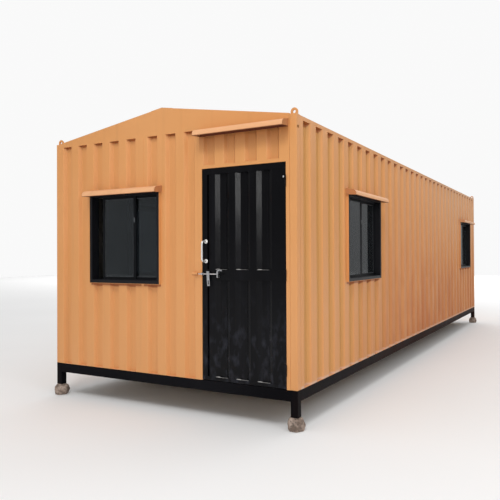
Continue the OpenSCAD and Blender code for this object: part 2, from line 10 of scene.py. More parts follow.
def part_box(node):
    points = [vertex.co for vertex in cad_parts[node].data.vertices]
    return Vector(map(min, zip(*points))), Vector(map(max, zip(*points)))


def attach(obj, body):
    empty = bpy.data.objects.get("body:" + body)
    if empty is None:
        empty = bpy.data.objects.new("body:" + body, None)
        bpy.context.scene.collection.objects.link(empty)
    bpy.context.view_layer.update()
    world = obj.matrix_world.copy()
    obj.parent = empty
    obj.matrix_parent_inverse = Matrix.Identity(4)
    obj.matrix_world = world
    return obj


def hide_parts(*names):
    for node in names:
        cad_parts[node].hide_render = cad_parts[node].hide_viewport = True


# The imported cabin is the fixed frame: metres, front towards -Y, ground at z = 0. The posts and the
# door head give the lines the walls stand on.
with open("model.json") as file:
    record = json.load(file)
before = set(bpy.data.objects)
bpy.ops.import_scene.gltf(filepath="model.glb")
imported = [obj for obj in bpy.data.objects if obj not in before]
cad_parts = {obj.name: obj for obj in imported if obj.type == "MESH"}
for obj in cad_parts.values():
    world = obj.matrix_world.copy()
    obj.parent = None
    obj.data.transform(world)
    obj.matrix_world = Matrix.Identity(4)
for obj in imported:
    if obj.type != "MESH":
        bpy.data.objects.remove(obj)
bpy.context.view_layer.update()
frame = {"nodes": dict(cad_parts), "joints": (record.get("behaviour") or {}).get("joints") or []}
post_lo, post_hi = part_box("corner_posts")
half_w = post_hi.x
front_y = post_lo.y
rear_y = post_hi.y
floor_z = post_lo.z
eaves_z = post_hi.z
head_lo, head_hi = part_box("door_head")
wall_t = head_hi.y - head_lo.y
half_t = wall_t / 2
inner_x = half_w - wall_t
cabin_l = rear_y - front_y


# Packing stones: one rough broken rock under each leg, split by hand and bedded flat on the ground.
# The breaks leave a few flat faces with chipped, slightly rounded edges and a dusty, pinkish skin.
stone_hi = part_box("foot_stones")[1]
leg_centres = [
    (x, y) for x in (half_t - half_w, half_w - half_t) for y in (front_y + half_t, rear_y - half_t)
]
stone_reach = stone_hi.x - (half_w - half_t)
stone_courses = ((0.0, 0.84, 7), (0.4, 1.0, 8), (0.74, 0.88, 7), (1.0, 0.62, 6))
stone_skew = 0.32
stone_least = 0.8
stone_softness = 0.45
stone_chip = 0.005
coarse_chips = 28
fine_chips = 75


class Reading:
    """A value that nodes read over a surface or along a sheet, so that sums on it are written plainly."""

    def __init__(self, tree, socket):
        self.tree = tree
        self.socket = socket

    def by(self, operation, *others):
        """One step of arithmetic on this reading."""
        return add_node(self.tree, "ShaderNodeMath", dict(enumerate((self, *others))), operation=operation)

    def ramp(self, start, end, least=0.0, most=1.0):
        """A share that goes from least to most between two levels of this reading."""
        levels = {"Value": self, "From Min": start, "From Max": end, "To Min": least, "To Max": most}
        return add_node(self.tree, "ShaderNodeMapRange", levels)

    def to(self, node, socket):
        """Links this reading to a socket of a node."""
        self.tree.links.new(self.socket, node.inputs[socket])

    def __add__(self, other):
        return self.by("ADD", other)

    def __sub__(self, other):
        return self.by("SUBTRACT", other)

    def __rsub__(self, other):
        return add_node(self.tree, "ShaderNodeMath", {0: other, 1: self}, operation="SUBTRACT")

    def __mul__(self, other):
        return self.by("MULTIPLY", other)

    def __truediv__(self, other):
        return self.by("DIVIDE", other)

    def __gt__(self, other):
        return self.by("GREATER_THAN", other)

    def __lt__(self, other):
        return self.by("LESS_THAN", other)

    def __abs__(self):
        return self.by("ABSOLUTE")


def add_node(tree, kind, inputs, out=0, **settings):
    """Adds a node and reads one of its outputs. A reading is linked to an input, any other value is set."""
    made = tree.nodes.new(kind)
    for key, value in settings.items():
        setattr(made, key, value)
    for key, value in inputs.items():
        if isinstance(value, Reading):
            value.to(made, key)
        else:
            made.inputs[key].default_value = value
    return Reading(tree, made.outputs[out])


def patches(tree, scale, low, high, stretch=(1, 1, 1), most=1.0, detail=4):
    """A mottled mask in metres: noise read between two levels and stretched along the axes."""
    place = add_node(tree, "ShaderNodeTexCoord", {}, out="Object")
    spread = add_node(tree, "ShaderNodeMapping", {"Vector": place, "Scale": stretch})
    cloud = add_node(tree, "ShaderNodeTexNoise", {"Vector": spread, "Scale": scale, "Detail": detail})
    return cloud.ramp(low, high, most=most)


def tint(mask, base, over):
    """Lays one colour over another by a mask."""
    base, over = (c if isinstance(c, Reading) else (*c, 1) for c in (base, over))
    return add_node(mask.tree, "ShaderNodeMix", {0: mask, 6: base, 7: over}, out=2, data_type="RGBA")


def relief(height, depth, under=None):
    """Raises the surface by a mask, to a depth in metres, over an earlier relief."""
    inputs = {"Height": height, "Distance": depth}
    if under:
        inputs["Normal"] = under
    return add_node(height.tree, "ShaderNodeBump", inputs)


def new_finish(name, even):
    """Starts a material, with what is even all over set on the shader's own sockets."""
    finish = bpy.data.materials.new(name)
    finish.use_nodes = True
    shader = finish.node_tree.nodes["Principled BSDF"]
    for socket, value in even.items():
        shader.inputs[socket].default_value = value
    return finish, finish.node_tree, shader


def new_shell():
    """A mesh in the making, with room to mark where edges are rubbed."""
    bm = bmesh.new()
    bm.verts.layers.float.new("wear")
    return bm


def plain_mesh(name, bm):
    """Turns a mesh in the making into a plain mesh."""
    mesh = bpy.data.meshes.new(name)
    bm.to_mesh(mesh)
    bm.free()
    return mesh


def take_in(bm, mesh):
    """Moves a plain mesh into one in the making."""
    bm.from_mesh(mesh)
    bpy.data.meshes.remove(mesh)


def place_object(name, data):
    """Puts an object at the origin of the scene."""
    made = bpy.data.objects.new(name, data)
    bpy.context.scene.collection.objects.link(made)
    return made


def settle(piece):
    """The mesh that a piece's modifiers make of it. The modifiers are taken off."""
    graph = bpy.context.evaluated_depsgraph_get()
    mesh = bpy.data.meshes.new_from_object(piece.evaluated_get(graph), depsgraph=graph)
    piece.modifiers.clear()
    return mesh


def make_piece(name, bm, finish, nodes=(), body="cabin", crease=32, soft=0.0):
    """Turns a mesh in the making, its edges softened first, into a named piece that rides on its body
    and stands for CAD nodes."""
    if soft:
        round_edges(bm, soft)
    bmesh.ops.recalc_face_normals(bm, faces=bm.faces[:])
    mesh = plain_mesh(name, bm)
    mesh.materials.append(finish)
    mesh.shade_smooth()
    mesh.set_sharp_from_angle(angle=math.radians(crease))
    piece = place_object(name, mesh)
    piece.modifiers.new("even_shading", "WEIGHTED_NORMAL").keep_sharp = True
    piece.data = settle(piece)
    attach(piece, body)
    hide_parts(*nodes)
    return piece


def broken_rock(bm, rng, centre):
    """One rock: the hull of a few uneven corners, chipped all over."""
    rock = bmesh.new()
    for height, reach, count in stone_courses:
        for k in range(count):
            turn = math.tau * (k + rng.uniform(-stone_skew, stone_skew)) / count
            out = stone_reach * reach * rng.uniform(stone_least, 1.0)
            rock.verts.new((out * math.cos(turn), out * math.sin(turn), stone_hi.z * height))
    hull = bmesh.ops.convex_hull(rock, input=rock.verts[:])
    buried = [v for v in hull["geom_interior"] if isinstance(v, bmesh.types.BMVert)]
    bmesh.ops.delete(rock, geom=buried, context="VERTS")
    bmesh.ops.subdivide_edges(rock, edges=rock.edges[:], cuts=5, use_grid_fill=True)
    bmesh.ops.smooth_vert(
        rock, verts=rock.verts[:], factor=stone_softness, use_axis_x=True, use_axis_y=True, use_axis_z=True
    )
    rock.normal_update()
    shift = Vector(centre).to_3d()
    for v in rock.verts:
        spot = v.co + shift
        chip = noise.noise(spot * coarse_chips) + 0.6 * noise.noise(spot * fine_chips) - 0.4
        v.co += v.normal * stone_chip * chip
        v.co.z = min(max(v.co.z, 0.0), stone_hi.z)
        v.co += shift
    take_in(bm, plain_mesh("rock", rock))


rock_finish, tree, shader = new_finish("broken_rock", {"Specular IOR Level": 0.2, "Roughness": 0.92})
lumps = patches(tree, 16, 0.36, 0.64)
pits = patches(tree, 70, 0.54, 0.7)
colour = tint(lumps, (0.19, 0.14, 0.11), (0.46, 0.36, 0.30))
tint(pits, colour, (0.11, 0.09, 0.075)).to(shader, "Base Color")
relief(pits, -0.004, relief(lumps, 0.004)).to(shader, "Normal")

stones = new_shell()
stone_rng = random.Random(11)
for leg_centre in leg_centres:
    broken_rock(stones, stone_rng, leg_centre)
make_piece("packing_stones", stones, rock_finish, ["foot_stones"])


# Base frame: rolled steel channels welded between the square-tube legs, brushed with black enamel.
# Road dust dulls it, and the enamel is rubbed to rusty primer along the toes of the channels.
rail_lo, rail_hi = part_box("base_rails_ends")
base_h = rail_hi.z - rail_lo.z
channel_flange = 0.050
channel_t = 0.006
tube_round = 0.0045
tube_t = 0.004
front = Matrix.Translation((0, front_y, floor_z))
rear = Matrix.Translation((0, rear_y, floor_z)) @ Matrix.Scale(-1, 4, (0, 1, 0))
right = Matrix.Translation((half_w, front_y, floor_z)) @ Matrix.Rotation(math.pi / 2, 4, "Z")
left = Matrix.Scale(-1, 4, (1, 0, 0)) @ right
upright = Matrix.Rotation(-math.pi / 2, 4, "Y")
dust_run = (front_y + 1.0, front_y + 3.2)
# A greenish painted reflected light in the side hollows near the front.
green_bounce_depth = (0.006, 0.022)
green_bounce_run = (front_y + 3.6, front_y + 1.4)
green_bounce_colour = (0.53, 0.30, 0.075)
bleach_run = (front_y + 2.5, front_y + 7.0)
bleach_rise = (floor_z + 1.0, floor_z + 2.2)
bleach_colour = (0.76, 0.46, 0.27)
pale_foot_rise = (floor_z + 0.030, floor_z + 0.010)
pale_foot_colour = (0.68, 0.45, 0.34)
# Heights over which painted reflections fade out on the door.
reflection_rise = (floor_z + 0.85, floor_z + 0.35)
ledge_tint_z = floor_z - 0.004
ledge_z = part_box("rear_wall")[1].z
ledge_blur = 0.012
sill_lo, sill_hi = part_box("window_jambs")
sill_proud = 0.028
canopy_lo, canopy_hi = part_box("door_canopy")
canopy_shade = 0.17
face_skin = 0.002


def axes(vector):
    """The three parts of a vector, each as a reading."""
    parts = add_node(vector.tree, "ShaderNodeSeparateXYZ", {0: vector}).socket.node
    return [Reading(vector.tree, part) for part in parts.outputs]


def mark(tree, name):
    """What a mesh says of itself from point to point, such as where it is rubbed."""
    return add_node(tree, "ShaderNodeAttribute", {}, out="Fac", attribute_name=name)


def ledge_shadow(from_side, y, z, height, proud=0.0, reach=1.0):
    """A painted shadow on the walls close under a ledge, reaching lower the deeper the sheet is sunk below
    it.
    """
    from_end = (y - front_y).by("MINIMUM", rear_y - y)
    sunk = (from_side * (1.25 * reach)).by("MINIMUM", from_end * (0.7 * reach))
    drop = height - z
    return (sunk + proud - drop).ramp(0.0, ledge_blur, most=0.88) * (drop > 0)


def enamel(
    name, paint, faded, bare, rough, dust, dusty, rise=0.8, gloss=0.5, painted_shade=None, pale_ledge_colour=None, reflection_smears=None,
    streak_or_reflection=None,
):
    """Enamel on steel, mottled towards a faded shade, streaked down and rubbed along its edges. Dust
    settles near the base, most along the sides and towards the back, where it also darkens the sides
    as painted shade. Undersides are darkened as painted shade, and painted shadow falls under ledges,
    top rails, sills and the door's canopy. A greenish painted reflected light lies in side hollows
    near the front, the foot of the sides is paler, and their far tops are bleached. Up-facing ledges
    outside the doorway can be laid in a pale orange. Low smears and light streaks on the door are
    painted reflections."""
    finish, tree, shader = new_finish(name, {"Specular IOR Level": gloss})
    x, y, z = axes(add_node(tree, "ShaderNodeTexCoord", {}, out="Object"))
    lean = axes(add_node(tree, "ShaderNodeNewGeometry", {}, out="True Normal"))[2]
    from_side = half_w - abs(x)
    fading = patches(tree, 0.8, 0.35, 0.7)
    runs = patches(tree, 1.0, 0.55, 0.8, stretch=(11, 11, 0.3), most=0.45)
    dust_and_side_shade = patches(tree, 3.5, 0.05, 0.66, stretch=(1.6, 1.6, 0.4))
    dust_and_side_shade *= z.ramp(floor_z + rise, floor_z - base_h, most=dusty)
    # Most of this dust tone lies along the sides, where it also darkens them as painted shade.
    dust_and_side_shade *= from_side.ramp(wall_t, half_t, least=0.15)
    dust_and_side_shade *= y.ramp(*dust_run, least=0.12)
    colour = tint(fading, paint, faded)
    # Runs streak the paint down; a streak colour lighter than the paint, as on the door, paints reflection
    # streaks.
    colour = tint(runs, colour, streak_or_reflection or [0.8 * c for c in paint])
    colour = tint(dust_and_side_shade, colour, dust)
    if painted_shade:
        side = (y > front_y + wall_t) * (from_side < wall_t)
        # The greenish tint in the hollows is painted reflected light.
        green_bounce = side * from_side.ramp(*green_bounce_depth, most=0.42) * y.ramp(*green_bounce_run)
        bleached = side * y.ramp(*bleach_run, most=0.55) * z.ramp(*bleach_rise)
        pale_foot = side * z.ramp(*pale_foot_rise, most=0.8)
        for mask, over in ((green_bounce, green_bounce_colour), (bleached, bleach_colour), (pale_foot, pale_foot_colour)):
            colour = tint(mask, colour, over)
        # Painted shade: undersides, the sheets under the rails, under the door's canopy and under the sills
        # darken towards the painted_shade colour.
        underside_shade = lean.ramp(-0.4, -0.8, most=0.85)
        # Painted shadow in the valley tops under the top rails.
        slot_shadow = ledge_shadow(from_side, y, z, ledge_z)
        # Painted shadow on the front wall under the door's canopy, fading downwards.
        shade = z.ramp(canopy_lo.z - canopy_shade, canopy_lo.z, most=0.52)
        shade *= (x > canopy_lo.x) * (x < canopy_hi.x) * (z < canopy_hi.z)
        shade *= (y > front_y - face_skin) * (y < front_y + wall_t)
        # Painted shadow under the window sills, on the sheets marked below the windows.
        sill = ledge_shadow(from_side, y, z, sill_lo.z, proud=sill_proud, reach=0.5) * mark(tree, "sill")
        for mask in (underside_shade, slot_shadow, shade, sill):
            colour = tint(mask, colour, painted_shade)
    # Up-facing faces above the top of the base, outside the doorway, are laid in a pale orange.
    if pale_ledge_colour:
        doorway = (y < front_y + wall_t) * (x > head_lo.x)
        colour = tint((z > ledge_tint_z) * lean.ramp(0.3, 0.7) - doorway, colour, pale_ledge_colour)
    # Low blotches of painted reflection.
    if reflection_smears:
        reflection_blotches = patches(tree, 10, 0.5, 0.74, stretch=(1.6, 1.6, 0.9), detail=6)
        colour = tint(reflection_blotches * z.ramp(*reflection_rise), colour, reflection_smears)
    chips = mark(tree, "wear") * patches(tree, 22, 0.48, 0.56)
    tint(chips, colour, bare).to(shader, "Base Color")
    (fading.ramp(0, 1, rough, rough + 0.14) + dust_and_side_shade * 0.5).to(shader, "Roughness")
    buckle = patches(tree, 2.2, 0.2, 0.8, detail=1)
    peel = patches(tree, 260, 0.3, 0.7, detail=1)
    relief(peel, 0.0002, relief(buckle, 0.004)).to(shader, "Normal")
    return finish


def ring(bm, outline, x, place):
    """Points of an outline in the local YZ plane, so far along X."""
    return [bm.verts.new(place @ Vector((x, *point))) for point in outline]


def skin(bm, a, b):
    """Faces between two rings of as many points."""
    for k in range(len(a)):
        n = (k + 1) % len(a)
        bm.faces.new((a[k], a[n], b[n], b[k]))


def closed_skin(bm, rings):
    """Faces along a row of rings and over both its ends."""
    for a, b in zip(rings, rings[1:]):
        skin(bm, a, b)
    bm.faces.new(rings[0])
    bm.faces.new(rings[-1][::-1])


def prism(bm, outline, length, place):
    """Extrudes a closed outline in the local YZ plane along X."""
    closed_skin(bm, [ring(bm, outline, x, place) for x in (0, length)])


def hollow_prism(bm, outer, inner, length, place):
    """Extrudes the band between two outlines of as many points along X."""
    out0, out1, in0, in1 = (ring(bm, edge, x, place) for edge in (outer, inner) for x in (0, length))
    for a, b in ((out0, out1), (out1, in1), (in1, in0), (in0, out0)):
        skin(bm, a, b)


def round_edges(bm, width, segments=2, sharper=40):
    """Rounds every sharp edge and marks the rounding as rubbed."""
    wear = bm.verts.layers.float["wear"]
    bound = math.radians(sharper)
    sharp = [e for e in bm.edges if e.is_manifold and e.calc_face_angle() > bound]
    done = bmesh.ops.bevel(
        bm, geom=sharp, offset=width, segments=segments, profile=0.5, affect="EDGES", clamp_overlap=True
    )
    rounding = set(done["faces"])
    for v in done["verts"]:
        v[wear] = float(all(f in rounding for f in v.link_faces))


def rounded_square(side, radius, steps=3):
    """Outline of a square with round corners, about its middle."""
    reach = side / 2 - radius
    points = []
    for corner in range(4):
        middle = (corner + 0.5) * math.pi / 2
        out = Vector((math.copysign(reach, math.cos(middle)), math.copysign(reach, math.sin(middle))))
        for k in range(steps + 1):
            turn = (corner + k / steps) * math.pi / 2
            points.append(tuple(out + radius * Vector((math.cos(turn), math.sin(turn)))))
    return points


def square_tube(bm, centre, low, high):
    """One upright square tube."""
    outer = rounded_square(wall_t, tube_round)
    inner = rounded_square(wall_t - 2 * tube_t, tube_round - tube_t)
    hollow_prism(bm, outer, inner, high - low, Matrix.Translation((*centre, low)) @ upright)


base_enamel = enamel(
    "black_base_enamel", paint=(0.004, 0.004, 0.005), faded=(0.009, 0.009, 0.011), bare=(0.10, 0.04, 0.022),
    rough=0.3, dust=(0.055, 0.024, 0.016), dusty=0.60, rise=0.15, pale_ledge_colour=(0.76, 0.43, 0.23), gloss=0.02,
)
channel = [
    (0, 0), (channel_flange, 0), (channel_flange, channel_t), (channel_t, channel_t),
    (channel_t, base_h - channel_t), (channel_flange, base_h - channel_t),
    (channel_flange, base_h), (0, base_h),
]
for run, walls, start, length in (
    ("ends", (front, rear), -inner_x, 2 * inner_x), ("sides", (right, left), wall_t, cabin_l - 2 * wall_t),
):
    rails = new_shell()
    for wall in walls:
        prism(rails, channel, length, wall @ Matrix.Translation((start, 0, -base_h)))
    make_piece("base_channels_" + run, rails, base_enamel, ["base_rails_" + run], soft=0.0025)
legs = new_shell()
for leg_centre in leg_centres:
    square_tube(legs, leg_centre, stone_hi.z, floor_z)
make_piece("legs", legs, base_enamel, ["corner_legs"])


# Floor: box joists across the base frame, in the same black enamel, and a deck of sealed plywood
# screwed down on them. The ply shows its long grain and a trodden dullness.
def dress(finish, *names):
    """Gives CAD nodes that keep their own shape a finish."""
    for name in names:
        mesh = frame["nodes"][name].data
        mesh.materials.clear()
        mesh.materials.append(finish)


ply_finish, tree, shader = new_finish("sealed_plywood", {"Specular IOR Level": 0.35})
grain = patches(tree, 6, 0.3, 0.7, stretch=(9, 0.5, 9))
trodden = patches(tree, 1.3, 0.4, 0.7)
colour = tint(grain, (0.36, 0.22, 0.11), (0.52, 0.35, 0.19))
tint(trodden, colour, (0.33, 0.25, 0.17)).to(shader, "Base Color")
trodden.ramp(0, 1, 0.35, 0.7).to(shader, "Roughness")
relief(grain, 0.0006).to(shader, "Normal")
dress(ply_finish, "floor_deck")
dress(base_enamel, "floor_joists")


# Corner posts: square steel tubes with rounded corners, welded on over the legs and sprayed orange.
# Each has a round tie hole near its top, cut through the wall of the tube that faces the side.
tie_hole_r = 0.015
tie_hole_drop = 0.107
# The wall enamel's painted_shade colour is the dark brown of its painted shade and painted shadows.
orange = enamel(
    "orange_wall_enamel", paint=(0.70, 0.315, 0.104), faded=(0.73, 0.336, 0.120), bare=(0.62, 0.36, 0.22),
    rough=0.38, dust=(0.46, 0.155, 0.064), dusty=0.88, rise=2.2, painted_shade=(0.33, 0.085, 0.014),
)
posts = new_shell()
drills = bmesh.new()
for x, y in leg_centres:
    square_tube(posts, (x, y), floor_z, eaves_z)
    spot = Matrix.Translation((math.copysign(half_w, x), y, eaves_z - tie_hole_drop))
    bmesh.ops.create_cone(
        drills, cap_ends=True, segments=32, radius1=tie_hole_r, radius2=tie_hole_r, depth=4 * tube_t,
        matrix=spot @ Matrix.Rotation(math.pi / 2, 4, "Y"),
    )
drill = place_object("drills", plain_mesh("drills", drills))
post_piece = make_piece("corner_post_tubes", posts, orange, ["corner_posts"])
post_piece.modifiers.new("tie_holes", "BOOLEAN").object = drill
post_piece.data = settle(post_piece)
bpy.data.objects.remove(drill)


# Wall sheets: thin steel rolled into trapezoid waves, one sheet to a bay, welded to posts and rails.
# The roller leaves every bend round. Two sheets meet on a wide crest in the front wall, lapped there.
wave_depth = 0.036
wave_mouth = 0.55
wave_floor = 0.33
bend_r = 0.009
sheet_t = 0.002
sheet_top = ledge_z - floor_z
end_pitch = 0.2345
end_first = 0.171
seam_after = 5
seam_w = 0.055
side_pitch = 0.281
side_first = 0.216
lap_w = 0.03
lap_t = 0.0015
window_z = sill_lo.z - floor_z
window_top = sill_hi.z - floor_z
front_win_in = 0.540
front_win_gap = 0.475
side_win_w = 1.110
near_win_at = 1.195
far_win_back = 0.620
door_l = head_lo.x
over_door = head_hi.z - floor_z
front_window = (front_win_in - half_w, door_l - front_win_gap)
side_windows = [(at, at + side_win_w) for at in (near_win_at, cabin_l - far_win_back - side_win_w)]


def new_rule(name, inputs):
    """Starts a tree of geometry nodes with named inputs and one mesh as its result."""
    rule = bpy.data.node_groups.new(name, "GeometryNodeTree")
    for label, kind in inputs.items():
        rule.interface.new_socket(name=label, in_out="INPUT", socket_type="NodeSocket" + kind)
    rule.interface.new_socket(name="Mesh", in_out="OUTPUT", socket_type="NodeSocketGeometry")
    source = rule.nodes.new("NodeGroupInput")
    return rule, {label: Reading(rule, source.outputs[label]) for label in inputs}


def close_rule(rule, geometry, finish):
    """Ends a tree with plain geometry that carries its finish."""
    plain = add_node(rule, "GeometryNodeRealizeInstances", {"Geometry": geometry})
    painted = add_node(rule, "GeometryNodeSetMaterial", {"Geometry": plain, "Material": finish})
    painted.to(rule.nodes.new("NodeGroupOutput"), "Mesh")


def vector(rule, **parts):
    """A vector from its parts, any part left out being nought."""
    return add_node(rule, "ShaderNodeCombineXYZ", parts)


def joined(first, second):
    """Two geometries as one."""
    both = add_node(first.tree, "GeometryNodeJoinGeometry", {0: first})
    second.to(both.socket.node, 0)
    return both


def grow(rule, values):
    """Runs a tree with these values for its inputs and returns a plain mesh."""
    holder = place_object(rule.name, bpy.data.meshes.new(rule.name))
    modifier = holder.modifiers.new(rule.name, "NODES")
    modifier.node_group = rule
    for item in rule.interface.items_tree:
        if item.in_out == "INPUT":
            modifier[item.identifier] = values[item.name]
    mesh = settle(holder)
    bpy.data.objects.remove(holder)
    return mesh


sheet_rule, given = new_rule("rolled_sheet", {
    "Start": "Float", "End": "Float", "Bottom": "Float", "Top": "Float", "First": "Float", "Pitch": "Float",
    "Valleys": "Int", "Seam After": "Int", "Seam Width": "Float", "Mouth": "Float", "Floor": "Float",
    "Depth": "Float", "Bend": "Float", "Thickness": "Float", "Finish": "Material",
})
point = add_node(sheet_rule, "GeometryNodeInputIndex", {}) - 1
valley = (point / 4).by("FLOOR")
corner = point - valley * 4 - 1.5
half_mouth = given["Mouth"] / 2
half_floor = given["Floor"] / 2
flank = half_mouth - half_floor
reach = half_floor + (abs(corner) - 0.5) * flank
seam_line = given["Seam After"] - 0.5
along = given["First"] + valley * given["Pitch"] + (valley > seam_line) * given["Seam Width"]
along += corner.by("SIGN") * reach
along += (point > given["Valleys"] * 4 - 0.5) * given["End"]
along = along.by("MINIMUM", given["End"]).by("MAXIMUM", given["Start"])
seam_at = given["First"] + seam_line * given["Pitch"] + given["Seam Width"] / 2
run = along - given["First"] - (along > seam_at) * given["Seam Width"]
nearest = (run / given["Pitch"]).by("ROUND").by("MAXIMUM", 0).by("MINIMUM", given["Valleys"] - 1)
away = abs(run - nearest * given["Pitch"])
sunk = ((half_mouth - away) / flank).by("MINIMUM", 1).by("MAXIMUM", 0) * given["Depth"]
spot = vector(sheet_rule, X=along, Y=sunk, Z=given["Bottom"])
line = add_node(sheet_rule, "GeometryNodeMeshLine", {"Count": given["Valleys"] * 4 + 2})
line = add_node(sheet_rule, "GeometryNodeSetPosition", {"Geometry": line, "Position": spot})
line = add_node(sheet_rule, "GeometryNodeMergeByDistance", {"Geometry": line, "Distance": 0.0005})
path = add_node(sheet_rule, "GeometryNodeMeshToCurve", {0: line})
bends = {"Curve": path, "Count": 3, "Radius": given["Bend"], "Limit Radius": True}
path = add_node(sheet_rule, "GeometryNodeFilletCurve", bends, mode="POLY")
edge = add_node(sheet_rule, "GeometryNodeCurveToMesh", {0: path})
rise = vector(sheet_rule, Z=given["Top"] - given["Bottom"])
drawn_up = {"Mesh": edge, "Offset": rise, "Offset Scale": 1.0}
face = add_node(sheet_rule, "GeometryNodeExtrudeMesh", drawn_up, mode="EDGES")
inward = vector(sheet_rule, Y=given["Thickness"])
drawn_in = {"Mesh": face, "Offset": inward, "Offset Scale": 1.0, "Individual": False}
back = add_node(sheet_rule, "GeometryNodeExtrudeMesh", drawn_in, mode="FACES")
shell = joined(back, add_node(sheet_rule, "GeometryNodeFlipFaces", {0: face}))
shell = add_node(sheet_rule, "GeometryNodeMergeByDistance", {"Geometry": shell, "Distance": 0.00001})
close_rule(sheet_rule, shell, given["Finish"])


def rolled_bay(bm, place, waves, start, end, low, high):
    """Adds one bay of rolled sheet to a wall in the making."""
    sizes = {"Start": start, "End": end, "Bottom": low, "Top": high, "Bend": bend_r, "Thickness": sheet_t}
    mesh = grow(sheet_rule, {**waves, **sizes})
    mesh.transform(place)
    take_in(bm, mesh)


def wave_set(first, pitch, valleys, depth, finish, seam=(999, 0.0), shares=(wave_mouth, wave_floor)):
    """The rolls of one wall: where its waves start, their spacing and their section."""
    return {
        "First": first, "Pitch": pitch, "Valleys": valleys, "Seam After": seam[0], "Seam Width": seam[1],
        "Mouth": shares[0] * pitch, "Floor": shares[1] * pitch, "Depth": depth, "Finish": finish,
    }


end_valleys = int((2 * half_w - 2 * end_first - seam_w) / end_pitch) + 1
rear_valleys = int((2 * half_w - 2 * end_first) / end_pitch) + 1
side_valleys = int((cabin_l - 2 * side_first) / side_pitch) + 1
front_waves = wave_set(-half_w + end_first, end_pitch, end_valleys, wave_depth, orange, (seam_after, seam_w))
rear_waves = wave_set(-(rear_valleys - 1) / 2 * end_pitch, end_pitch, rear_valleys, wave_depth, orange)
side_waves = wave_set(side_first, side_pitch, side_valleys, wave_depth, orange)
(near_l, near_r), (far_l, far_r) = side_windows
front_bays = ((-inner_x, front_window[0]), (front_window[1], door_l))
side_bays = ((wall_t, near_l), (near_r, far_l), (far_r, cabin_l - wall_t))
glazed = [(front, front_waves, *front_window)]
glazed += [(wall, side_waves, *window) for wall in (right, left) for window in side_windows]
wall_bays = {
    "front_wall": [(front, front_waves, *bay, 0, sheet_top) for bay in front_bays],
    "right_wall": [(right, side_waves, *bay, 0, sheet_top) for bay in side_bays],
    "left_wall": [(left, side_waves, *bay, 0, sheet_top) for bay in side_bays],
    "rear_wall": [(rear, rear_waves, -inner_x, inner_x, 0, sheet_top)],
    "walls_below_windows": [(*bay, 0, window_z) for bay in glazed],
    "walls_above_openings": [(*bay, window_top, sheet_top) for bay in glazed]
    + [(front, front_waves, door_l, inner_x, over_door, sheet_top)],
}
seam_x = -half_w + end_first + (seam_after - 0.5) * end_pitch + seam_w / 2
lap = [(-lap_t, 0), (0, 0), (0, 1), (-lap_t, 1)]
for node, bays in wall_bays.items():
    sheets = new_shell()
    for bay in bays:
        rolled_bay(sheets, *bay)
    # The sheets below the windows are marked so that their enamel paints a shadow under the sills.
    if node == "walls_below_windows":
        sill_shadow_layer = sheets.verts.layers.float.new("sill")
        for v in sheets.verts:
            v[sill_shadow_layer] = 1.0
    if node in ("walls_below_windows", "walls_above_openings"):
        low, high = bays[0][4:]
        reach_up = Matrix.Diagonal((1, 1, high - low, 1))
        prism(sheets, lap, lap_w, front @ Matrix.Translation((seam_x, 0, low)) @ reach_up)
    make_piece(node + "_sheets", sheets, orange, [node], crease=40)


# Top rails and gables: folded steel plate along the tops of the walls and over the two ends, welded
# over the waves so that each valley ends in a slot, darkened below by painted shadow on the sheets.
# They are sprayed with the walls.
dress(orange, "top_rails_ends", "top_rails_sides", "front_gable", "rear_gable")


# Lining: pale laminate board on the inside of the walls and overhead, fixed up against the frame.
# It carries a faint linen grain and has yellowed unevenly.
lining_finish, tree, shader = new_finish("pale_laminate", {"Specular IOR Level": 0.4, "Roughness": 0.48})
weave = patches(tree, 140, 0.35, 0.65, stretch=(1, 1, 0.15))
yellowed = patches(tree, 0.9, 0.35, 0.7)
colour = tint(yellowed, (0.70, 0.68, 0.62), (0.64, 0.59, 0.48))
tint(weave * 0.25, colour, (0.55, 0.52, 0.45)).to(shader, "Base Color")
relief(weave, 0.0003).to(shader, "Normal")
dress(lining_finish, "front_lining", "right_lining", "left_lining", "rear_lining", "ceiling")


# Roof: one thin steel sheet to each slope, stiffened by pressed ribs and screwed down along the
# eaves and the ridge through washers, with a folded cap over the ridge. It is weathered orange.
ridge_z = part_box("front_gable")[1].z
gable_rise = ridge_z - eaves_z
roof_t = 0.003
rib_h = 0.020
rib_w = 0.060
rib_pitch = 0.406
rib_setback = 0.110
rib_bed = 0.001
ridge_wing = 0.140
ridge_gap = 0.020
ridge_t = 0.002
slope = math.atan2(gable_rise, half_w)
slope_l = math.hypot(gable_rise, half_w)
washer_r = 0.010
washer_t = 0.003
screw_r = 0.006
screw_h = 0.012
screw_lift = 0.002
screw_rows = (0.05, slope_l - ridge_wing + 0.03)


def mottled(name, even, scale, levels, shades, stretch=(1, 1, 1), rough=None, raised=0.0, worn=None):
    """A finish that wanders between two shades. Its gloss and its relief may follow the same patches,
    and a third shade may show half through where its edges are rubbed."""
    finish, tree, shader = new_finish(name, even)
    mask = patches(tree, scale, *levels, stretch=stretch)
    colour = tint(mask, *shades)
    if worn:
        colour = tint(mark(tree, "wear") * 0.5, colour, worn)
    colour.to(shader, "Base Color")
    if rough:
        mask.ramp(0, 1, *rough).to(shader, "Roughness")
    if raised:
        relief(mask, raised).to(shader, "Normal")
    return finish


roof_enamel = enamel(
    "weathered_roof_enamel", paint=(0.66, 0.30, 0.115), faded=(0.72, 0.37, 0.18), bare=(0.55, 0.33, 0.22),
    rough=0.46, dust=(0.5, 0.24, 0.12), dusty=0.2,
)
zinc_finish = mottled(
    "zinc_plate", {"Metallic": 1.0}, 45, (0.35, 0.68), ((0.62, 0.63, 0.65), (0.44, 0.44, 0.45)),
    rough=(0.28, 0.5), raised=0.0003,
)


